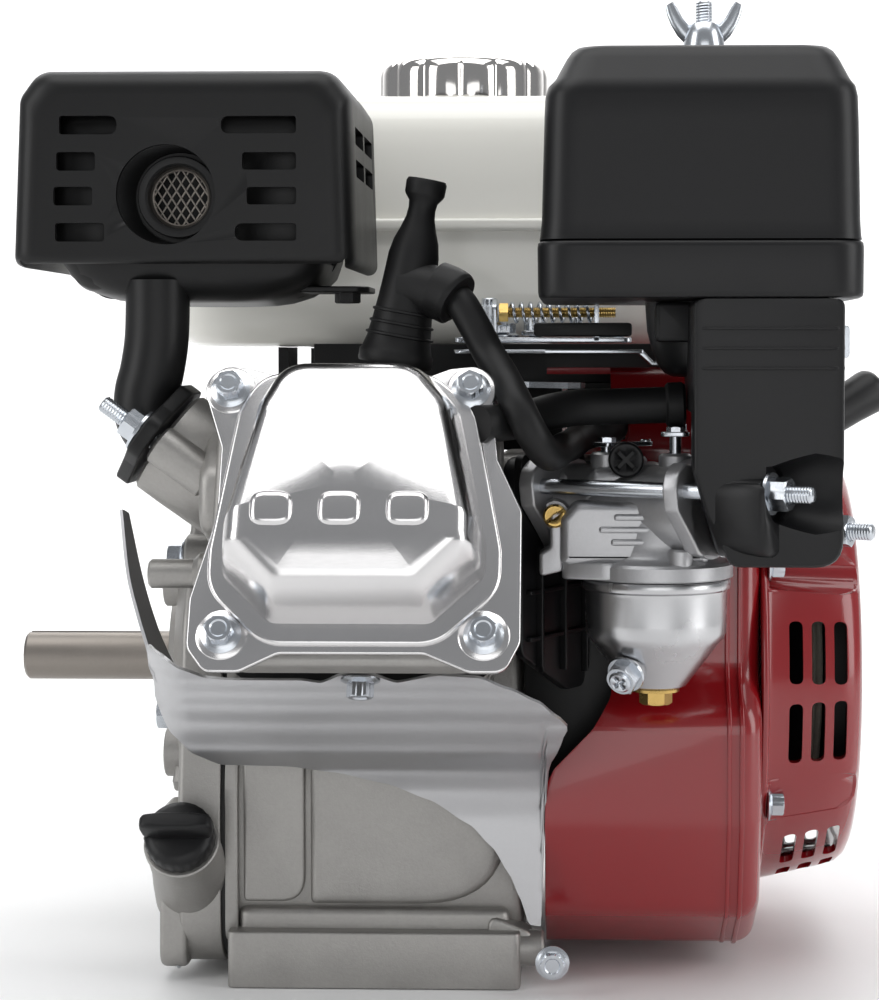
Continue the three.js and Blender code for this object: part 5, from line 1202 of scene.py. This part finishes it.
place(fan_cover(), "engine_block", "red_enamel", RED, "fan_cover")
reel = [turned("reel", STARTER, [(47.4, x - 1.2), (49.0, x - 1.0), (50.0, x), (49.0, x + 1.0), (47.4, x + 1.2)],
               64, 60, True) for x in (159.6, 161.9)]
place(merged("rope_reel", reel), "pulley", "black_plastic", ROPE)
place(turned("spring_case", STARTER, [(62, 165.4), (62, 170.0), (61, 170.8), (0.1, 170.8)], 64), "engine_block",
      "black_plastic", DARK)
place(recoil_cover(), "engine_block", "red_enamel", RED, "recoil_cover")
place(flange_bolt("fan_bolt", frame_at((63.2, -101.0, 11.6), (0, -1, 0), (1, 0, 0)), 8, 6.0, 5.6), "engine_block",
      "zinc_plated", ZINC)
print("covers done")

# %% [markdown]
# ## Carburettor
# The float bowl hangs under a zinc-aluminium body whose bore runs square to the inlet port. Two long studs carry
# everything from the head out to the air cleaner, so the stack is insulator, body, elbow, nut. Screws are what one
# adjusts: a plastic stop screw, a brass pilot screw with its spring, a drain screw on the bowl.
# %% Carburettor body
BOWL_AT = at(UPRIGHT, 98.7, -115)
STUDS = ((-21.1, 7.25), (21.1, -7.25))  # across and up from the middle of the port


def facing(x, z, y=0):
    """A frame that looks at the cylinder side, on the point x, z."""
    return frame_at((x, y, z), (0, -1, 0), (1, 0, 0))


def ears(low, high, rim=0.8):
    outline = rounded([(-27, 13), (-21, 16.5), (-13, 15), (-4, 17), (10, 15), (17, 8), (27, -1), (28.5, -8), (26, -13),
                       (21, -15), (13, -15), (4, -17), (-10, -15), (-17, -8), (-27, 1), (-28.5, 8)], 5, 4)
    return slab("ears", PORT, outline, low, high, rim, rim)


def carburettor():
    parts = [turned("throat", PORT, [(14.4, -95), (14.2, -84), (12.8, -74), (12.8, -66), (15, -52), (16.8, -45),
                                     (16.8, -36)], 64)]
    parts += [ears(-95, -89.4), ears(-41.4, -36)]
    parts.append(turned("bowl_seat", BOWL_AT, [(25.6, 148.9), (26.3, 149.4), (26.3, 153.6), (25.5, 154.6),
                                               (22.4, 155.4), (20.6, 157.4), (20, 161), (19.4, 168), (17.4, 173),
                                               (13, 177), (8, 179), (0.1, 179.4)], 72))
    for a in (20, 110, 200, 290):
        p = (98.7 + 21.5 * math.cos(math.radians(a)), -115 + 21.5 * math.sin(math.radians(a)))
        parts.append(rod("lug", (*p, 150), (*p, 160), 4.2, 24, 0.8))
    parts.append(slab("tower", UPRIGHT, rounded(rectangle(82.4, -121, 95.6, -104), 4, 5), 166, 190, 1.4))
    parts.append(rod("screw_boss", (88.2, -108, 189.3 - 4), (88.2, -121.0, 189.3 - 4), 6.0, 32, 0.9))
    parts.append(rod("pilot_boss", (64.2, -112, 170.6), (64.2, -122, 170.6), 5.4, 32, 0.9))
    parts.append(slab("pilot_web", FRONT, rounded([(60, 163), (76, 158), (88, 160), (88, 176), (62, 178)], 4, 5), 106,
                      117, 1.6))
    chest = rounded([(66, 154), (116, 154), (115, 171), (107, 175.6), (71, 175.6), (66, 170)], [3, 3, 5, 5, 5, 4], 6)
    parts.append(slab("chest", FRONT, chest, 108, 133.4, 3.2, 0, 6))
    parts.append(slab("shoulder", FRONT, rounded([(69, 168), (113, 168), (108, 185), (98, 188), (76, 186)], 5, 6), 106,
                      123, 4, 0, 6))
    for x0, x1, z in ((84, 98, 170.4), (79, 104, 166.2), (83, 100, 162)):
        parts.append(slab("face_rib", FRONT, rounded(rectangle(x0, z - 1.1, x1, z + 1.1), 1, 4), 131, 134.3, 0.8))
    parts.append(slab("flange_ear", UPRIGHT, rounded([(66.6, -131), (84, -137), (96, -118), (88, -100), (66.6, -108)],
                                                     [4, 6, 3, 3, 4], 5), 149.4, 155.2, 0.8, 0.8, 4))
    parts.append(slab("left_rib", FRONT, rounded([(59, 150), (67, 152), (67, 172), (62.5, 172), (62.5, 160),
                                                  (59, 158)], 1.6, 4), 110, 130, 1.2))
    for s in (-76, -50):
        parts.append(rod("shaft_boss", PORT @ Vector((0, 6, s)), PORT @ Vector((0, 18.4, s)), 5.6, 32, 0.8))
    parts.append(rod("fuel_inlet", PORT @ Vector((8, -10, -62)), PORT @ Vector((26, -10, -62)), 5.0, 32, 0.8))
    return merged("carburettor_looks", parts)


place(carburettor(), "engine_block", "cast_aluminium", CAST_LIGHT, "carburettor_body")


def float_bowl():
    bowl = turned("float_bowl_looks", BOWL_AT, [
        (3.6, 111.2), (8.8, 111.0), (10.2, 111.6), (11.4, 113.2), (21.6, 126.4), (23.2, 128.2), (24.0, 130.2),
        (24.1, 134), (24.1, 143.4), (24.3, 144.6), (25.3, 145.3), (25.6, 146.2), (25.5, 148.0),
        (25.2, 148.5), (0.1, 148.5)], 96, 28)
    drain_f = frame_at((88.6, -128.0, 117.6), (-0.42, -0.8, -0.43), (1, 0, 0))
    boss = turned("drain_boss", drain_f, [(6.6, -8), (6.2, 0), (5.6, 0.6), (0.1, 0.6)], 40)
    return merged("float_bowl_looks", [bowl, boss]), drain_f


bowl, drain_f = float_bowl()
place(bowl, "engine_block", "bright_aluminium", BOWL, "float_bowl")
nut_f = frame_at((98.7, -115, 110.9), (0, 0, -1), (1, 0, 0))
bolt = merged("bowl_bolt_looks", [
    turned("washer", nut_f, [(7.9, 0), (8.2, 0.3), (8.0, 1.3), (0.1, 1.3)], 48),
    hexagon("head", nut_f, 10, 1.2, 5.8, 0)])
place(bolt, "engine_block", "yellow_brass", BRASS, "bowl_bolt")


def slotted_screw(name, f, radius, height, slot_width=1.2, cross=False):
    head = turned("head", f, [(radius - 0.5, 0), (radius, 0.4), (radius, height - 0.7), (radius - 0.7, height),
                              (0.1, height)], 48)
    reach = radius * 0.62 if cross else radius + 1
    for k in ((45, 135) if cross else (0,)):
        carve(head, slab("slot", turn_z(f, k), rectangle(-reach, -slot_width / 2, reach, slot_width / 2),
                         height - 1.6, height + 2, 0))
    head.name = name
    return head


def coil(name, start, end, radius, wire, turns, samples=16):
    f, length = along(start, end)
    count = int(turns * samples)
    pts = [f @ Vector((radius * math.cos(2 * math.pi * k / samples), radius * math.sin(2 * math.pi * k / samples),
                       length * k / count)) for k in range(count + 1)]
    return tube(name, pts, wire, sides=10, straight=True)


drain = merged("drain_screw", [
    turned("washer", drain_f, [(6.4, 0.6), (6.6, 0.9), (6.4, 1.7), (0.1, 1.7)], 40),
    hexagon("head", turn_z(drain_f, 12), 10, 1.6, 5.8, 0.8),
    slotted_screw("cross", at(drain_f, 0, 0, 5.0), 3.9, 1.9, 1.1, True)])
place(drain, "engine_block", "zinc_plated", ZINC)
place(slotted_screw("throttle_stop_looks", facing(88.2, 189.3, -121.4), 6.0, 5.4, 1.4, True), "engine_block",
      "black_plastic", PLASTIC, "throttle_stop_screw")
pilot_f = turn_z(facing(64.2, 170.6, -128.2), 35)
pilot = merged("pilot_screw_looks", [slotted_screw("pilot", pilot_f, 4.0, 3.0, 1.0),
                                     rod("stem", (64.2, -128.6, 170.6), (64.2, -116, 170.6), 1.9, 24, 0.1)])
place(pilot, "engine_block", "yellow_brass", BRASS)
place(coil("pilot_spring", (64.2, -128.2, 170.6), (64.2, -122.2, 170.6), 2.9, 0.42, 5), "engine_block", "zinc_plated",
      STEEL)
for i, (t, h, seat) in enumerate(((*STUDS[0], -6.6), (*STUDS[1], -2.4))):
    f = at(PORT, t, h, seat)
    pieces = [threaded("end", f, 3.0, 0, 15.2, 1.0), turned("shank", f, [(2.7, -112 - seat), (2.7, 0), (0.1, 0)], 32),
              turned("washer", f, [(6.9, 0), (7.1, 0.4), (6.9, 1.3), (3.2, 1.4)], 48),
              hexagon("nut", turn_z(f, 14 + 30 * i), 10, 1.3, 7.4, 0, True, 72, 3.1)]
    place(merged(f"carb_stud_{i + 1}", pieces), "engine_block", "zinc_plated", ZINC,
          ("carb_stud_front", "carb_stud_rear")[i])


# %% [markdown]
# Between the head and the body sits a black resin plate that keeps heat from the fuel. It is wider than the flange
# and hangs down as a shield; two ribs stiffen its face. The levers above are stamped steel on thin shafts.
# %% Insulator and levers
def insulator():
    plate = slab("plate", PORT, rounded([(-25, -12), (-25, 18), (21, 18), (21, -66), (8, -66), (-25, -50)], 4, 5),
                 -98.6, -95.4, 0.5, 0.5)
    block = slab("block", PORT, rounded(rectangle(-25, -17, 25, 17), 10, 6), -103.8, -98, 0.8)
    ribs = [slab("rib", PORT, rounded([(t, top), (t + 1.6, top), (t + 1.6, -58), (t, -58 - t * 0.2)], 0.5, 3),
                 -95.6, -92.8, 0.4) for t, top in ((-15, -14), (2, 4), (18, 4))]
    sills = [slab("sill", PORT, rounded(rectangle(-22, h, 19.6, h + 1.6), 0.5, 3), -95.6, -93.4, 0.4)
             for h in (-46, -30)]
    return merged("carb_insulator_looks", [plate, block, *ribs, *sills])


place(insulator(), "engine_block", "black_plastic", PLASTIC, "carb_insulator")


def lever(name, s, reach, degrees, height, pin_top):
    """A stamped arm on a thin shaft over the carburettor, with its pin."""
    a = math.radians(degrees)
    tip = (reach * math.sin(a), s + reach * math.cos(a))
    flat = frame_at(PORT @ Vector((0, height, s)), (0, 0, 1), PORT.col[0][:3])
    d = Vector((tip[0], -(tip[1] - s)))
    n = Vector((-d.y, d.x)).normalized()
    u = d.normalized()
    shape = [n * 5.2 - u * 3.4, n * 2.8 + d * 0.55, n * 2.6 + d + u * 2.2, -n * 2.6 + d + u * 2.2,
             -n * 2.8 + d * 0.55, -n * 5.2 - u * 3.4]
    arm = slab("arm", flat, rounded([tuple(p) for p in shape], 2.4, 5), -0.8, 0.8, 0.3, 0.3)
    shaft = rod("shaft", PORT @ Vector((0, 13, s)), PORT @ Vector((0, height + 1.6, s)), 2.0, 24, 0.3)
    pin = rod("pin", PORT @ Vector((tip[0], height - 0.8, tip[1])), PORT @ Vector((tip[0], pin_top, tip[1])), 2.0, 24,
              0.4)
    cap = hexagon("cap", frame_at(PORT @ Vector((0, height + 0.7, s)), (0, 0, 1), (1, 0, 0)), 5.5, 0, 1.8, 0)
    return merged(name, [arm, shaft, pin, cap])


place(lever("throttle_lever_looks", -76, 16, 60, 21, 22.5), "throttle", "zinc_plated", ZINC, "throttle_lever")
place(lever("choke_lever_looks", -50, 20, 110, 25, 28), "choke", "zinc_plated", ZINC, "choke_lever")
for i, (x, y, low, high) in enumerate(((102.2, -132, 178, 189.6), (108.2, -130, 172, 185.2))):
    place(rod(f"body_post_{i + 1}", (x, y + 8, low), (x, y + 8, high), 2.6, 24, 0.6), "engine_block", "zinc_plated",
          ZINC)
print("carburettor small parts done")

# %% [markdown]
# ## Spark plug cap, lead and breather
# The plug cap is a rubber boot that swells over the plug's hexagon, narrows, and ends in a flat grip disc; the lead
# leaves through a fat elbow sleeve. Lead and breather are real hoses with a constant section, so each is swept
# along its own route and keeps its whole length down to where it plugs in.
# %% Plug cap, lead, breather
def plug_cap():
    body = turned("body", PLUG, [(12.2, 9.4), (12.6, 10.2), (12.6, 13.4), (11.9, 14.6), (11.0, 18), (10.2, 24),
                                 (9.4, 32), (8.9, 40), (8.6, 47), (7.6, 52), (6.1, 56), (4.9, 60), (4.6, 63),
                                 (4.9, 65.4), (6.3, 67.2), (6.8, 68.2), (6.9, 72.0), (6.4, 73.0), (0.1, 73.0)], 64, 60)
    arm = tube("arm", [(13, -124, 247.6), (19, -125.6, 247.4), (24.6, -127.4, 245.6), (29.4, -129.2, 243.6)],
               lambda t: 8.4 + 0.5 * t, 24, 40)
    fins = [turned("fin", PLUG, [(r, z - 0.7), (r + 0.9, z - 0.3), (r + 0.9, z + 0.3), (r, z + 0.7)], 64, loop=True)
            for z, r in ((19.5, 10.7), (23.5, 10.1), (27.5, 9.7))]
    return merged("spark_plug_cap_looks", [body, arm, *fins])


place(plug_cap(), "engine_block", "black_rubber", RUBBER, "spark_plug_cap")
LEAD = [(25.4, -128.6, 246.2), (29.4, -129.9, 244.8), (33.2, -132.4, 241.4), (37.6, -134.5, 234), (42.4, -137, 225),
        (47.6, -143.5, 216.8), (52.6, -153, 207.6), (57.6, -154, 198), (62.5, -143, 191.8), (67, -124, 193.2),
        (70, -108, 194), (74, -95, 196.5), (81, -86, 198), (84.5, -76, 198.5), (84, -60, 200.5), (81, -45, 205.6)]
lead = tube("lead", LEAD, 5.4, 150, 28)
boot = tube("boot", [(24.4, -128.2, 247.0), (28.4, -129.6, 245.4), (31.6, -131.0, 243.2)],
            lambda t: 9.3 if t < 0.8 else 9.3 - 3 * (t - 0.8), 20, 40)
place(merged("spark_lead_looks", [lead, boot]), "engine_block", "black_rubber", RUBBER, "spark_lead")
BREATHER = [(39.5, -156, 202.3), (44, -151, 202.4), (50, -142, 202.8), (57, -133, 204), (64, -127, 205.8),
            (73, -123, 207), (84, -121.5, 207.2), (96, -121, 207.6), (108.4, -121, 208)]
hose = tube("hose", BREATHER, 6.15, 90, 36)
collar = rod("collar", (101.6, -121, 207.75), (108.3, -121, 208), 7.6, 48, 0.9)
place(merged("breather_tube_looks", [hose, collar]), "engine_block", "black_rubber", RUBBER, "breather_tube")
print("plug cap and hoses done")

# %% [markdown]
# ## Speed control
# Over the carburettor a stamped bracket carries the stop screw with its spring and the lever that pulls the
# governor spring. Thin zinc-plated sheet, so every edge is crisp and every face reflects. Two black plates behind it
# close the gaps under the tank and beside the flywheel, where a real engine is packed with dark parts.
# %% Speed control
def control_bracket():
    plate = slab("plate", UPRIGHT, rounded([(26, -46), (92, -46), (92, -18), (26, -18)], 3, 4), 229.4, 231.2, 0.3, 0.3)
    left = slab("left", SIDE, rounded([(-46, 222), (-46, 243), (-40, 246), (-34, 243), (-24, 234), (-18, 230),
                                       (-18, 222)], 2.5, 4), 40, 41.8, 0.3, 0.3)
    right = slab("right", SIDE, rounded([(-48, 230), (-48, 246), (-46, 248), (-42, 248), (-40, 246), (-40, 230)], 1.5,
                                        4), 78, 79.8, 0.3, 0.3)
    carve(left, rod("hole", (38, -43, 240.5), (44, -43, 240.5), 2.4, 24, 0.1))
    carve(right, rod("hole", (76, -43, 240.5), (82, -43, 240.5), 2.4, 24, 0.1))
    return merged("control_bracket_looks", [plate, left, right])


place(control_bracket(), "engine_block", "zinc_plated", ZINC, "control_bracket")
screw = merged("speed_screw_looks", [threaded("thread", frame_at((86, -43, 240.5), (-1, 0, 0), (0, 1, 0)), 2.0, 0, 43,
                                              0.9, 0.28), hexagon("head", frame_at((46, -43, 240.5), (-1, 0, 0),
                                                                                   (0, 1, 0)), 7, 0, 3.4, 0.8)])
place(screw, "engine_block", "yellow_brass", BRASS, "speed_screw")
place(coil("speed_spring", (46.5, -43, 240.5), (77.4, -43, 240.5), 3.5, 0.62, 9), "engine_block", "zinc_plated", ZINC)
speed = merged("control_lever_looks", [
    slab("arm", UPRIGHT, rounded([(50.6, -26), (50.6, -34), (74, -37.4), (77, -33), (60, -25)], 3, 5), 232, 233.8,
         0.3, 0.3),
    hexagon("nut", at(UPRIGHT, 56, -30), 8, 233.8, 238.8, 0, True),
    rod("stud", (56, -30, 231.4), (56, -30, 240.4), 2.6, 24, 0.4),
    rod("pin", (72, -34.6, 233), (72, -34.6, 239), 1.7, 20, 0.4)])
place(speed, "speed_lever", "zinc_plated", ZINC, "control_lever")
for i, (x, y, z, top) in enumerate(((44, -30, 231.3, 236.2), (84, -30, 231.3, 236.2))):
    place(flange_bolt(f"bracket_bolt_{i + 1}", at(UPRIGHT, x, y, z), 8, 6.0, 5.4), "engine_block", "zinc_plated", ZINC)
lower_plate = merged("lower_plate", [
    slab("flat", UPRIGHT, rounded([(26, -56), (60, -60), (96, -58), (96, -20), (26, -20)], [6, 3, 1, 1, 4], 5), 225.2,
         226.6, 0.3, 0.3),
    slab("bent", FRONT, rounded([(94.6, 226.6), (94.6, 225), (99, 221), (106, 220.4), (106, 221.8), (99.6, 222.4),
                                 (95.6, 226.6)], 0.4, 3), 30, 57, 0.2)])
place(lower_plate, "engine_block", "zinc_plated", ZINC)
place(slab("control_bar", FRONT, rounded(rectangle(55.6, 231.5, 92, 236.6), 1.5, 4), 46.6, 50, 0.6), "engine_block",
      "black_plastic", PLASTIC)
pivot = at(UPRIGHT, 38.5, -33, 231.1)
place(merged("pivot_nut", [rod("post", pivot @ Vector((0, 0, 0)), pivot @ Vector((0, 0, 15)), 2.9, 24, 0.4),
                           turned("washer", pivot, [(7.6, 4.4), (7.9, 4.8), (7.6, 5.8), (0.1, 5.9)], 40),
                           hexagon("nut", pivot, 10, 5.8, 12.4, 0, True)]), "engine_block", "zinc_plated", ZINC)
place(slab("rear_shroud", FRONT, [(-30, 188), (66, 188), (66, 214), (108, 214), (108, 229),
                                     (-30, 229)], 13.4, 14.8, 0.3), "engine_block",
      "heat_black", HEAT_BLACK)
place(slab("fan_backplate", FRONT, rounded(rectangle(52.8, 60, 84, 187), 3, 4), 81.2, 82.4, 0.3), "engine_block",
      "heat_black", HEAT_BLACK)


# %% [markdown]
# ## Starter grip
# A black moulded T: its bar lies along the operator's fingers and its stem carries the knot of the rope. The rope is
# one length of braid from the eyelet to the stem.
# %% Grip and rope
GRIP_AT, GRIP_ALONG, PULL = Vector((155, -83, 195)), Vector((0.8, 0.4, 0.45)).normalized(), Vector((0.8, 0, 0.6))


def grip():
    lift = Vector((0, 0, 4.5))
    f = frame_at(GRIP_AT + lift - GRIP_ALONG * 30, GRIP_ALONG, (0, 1, 0))
    bar = turned("bar", f, [(5.0, 0.0), (6.9, 0.5), (7.8, 2.0), (8.0, 4.0), (7.5, 12), (7.2, 30), (7.5, 48), (8.0, 56),
                            (7.8, 58), (6.9, 59.5), (5.0, 60.0), (0.1, 60.0)], 56, 50)
    stem = turned("stem", along(GRIP_AT - PULL * 12, GRIP_AT + lift)[0], [(4.2, 0), (5.2, 0.8), (5.4, 4), (5.4, 12),
                                                                          (6.4, 16)], 40)
    return merged("starter_handle_looks", [bar, stem])


place(grip(), "starter_handle", "black_plastic", PLASTIC, "starter_handle")
rope = tube("starter_rope", [(149, -56, 164.4), (149, -72, 177.4), (148.6, -79.6, 184.0), (146.8, -82.4, 186.8),
                             (145.2, -83, 187.7)], 2.1, 60, 20)
rope.data.materials.append(ROPE)
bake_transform(rope)
print("pieces:", len(PIECES))
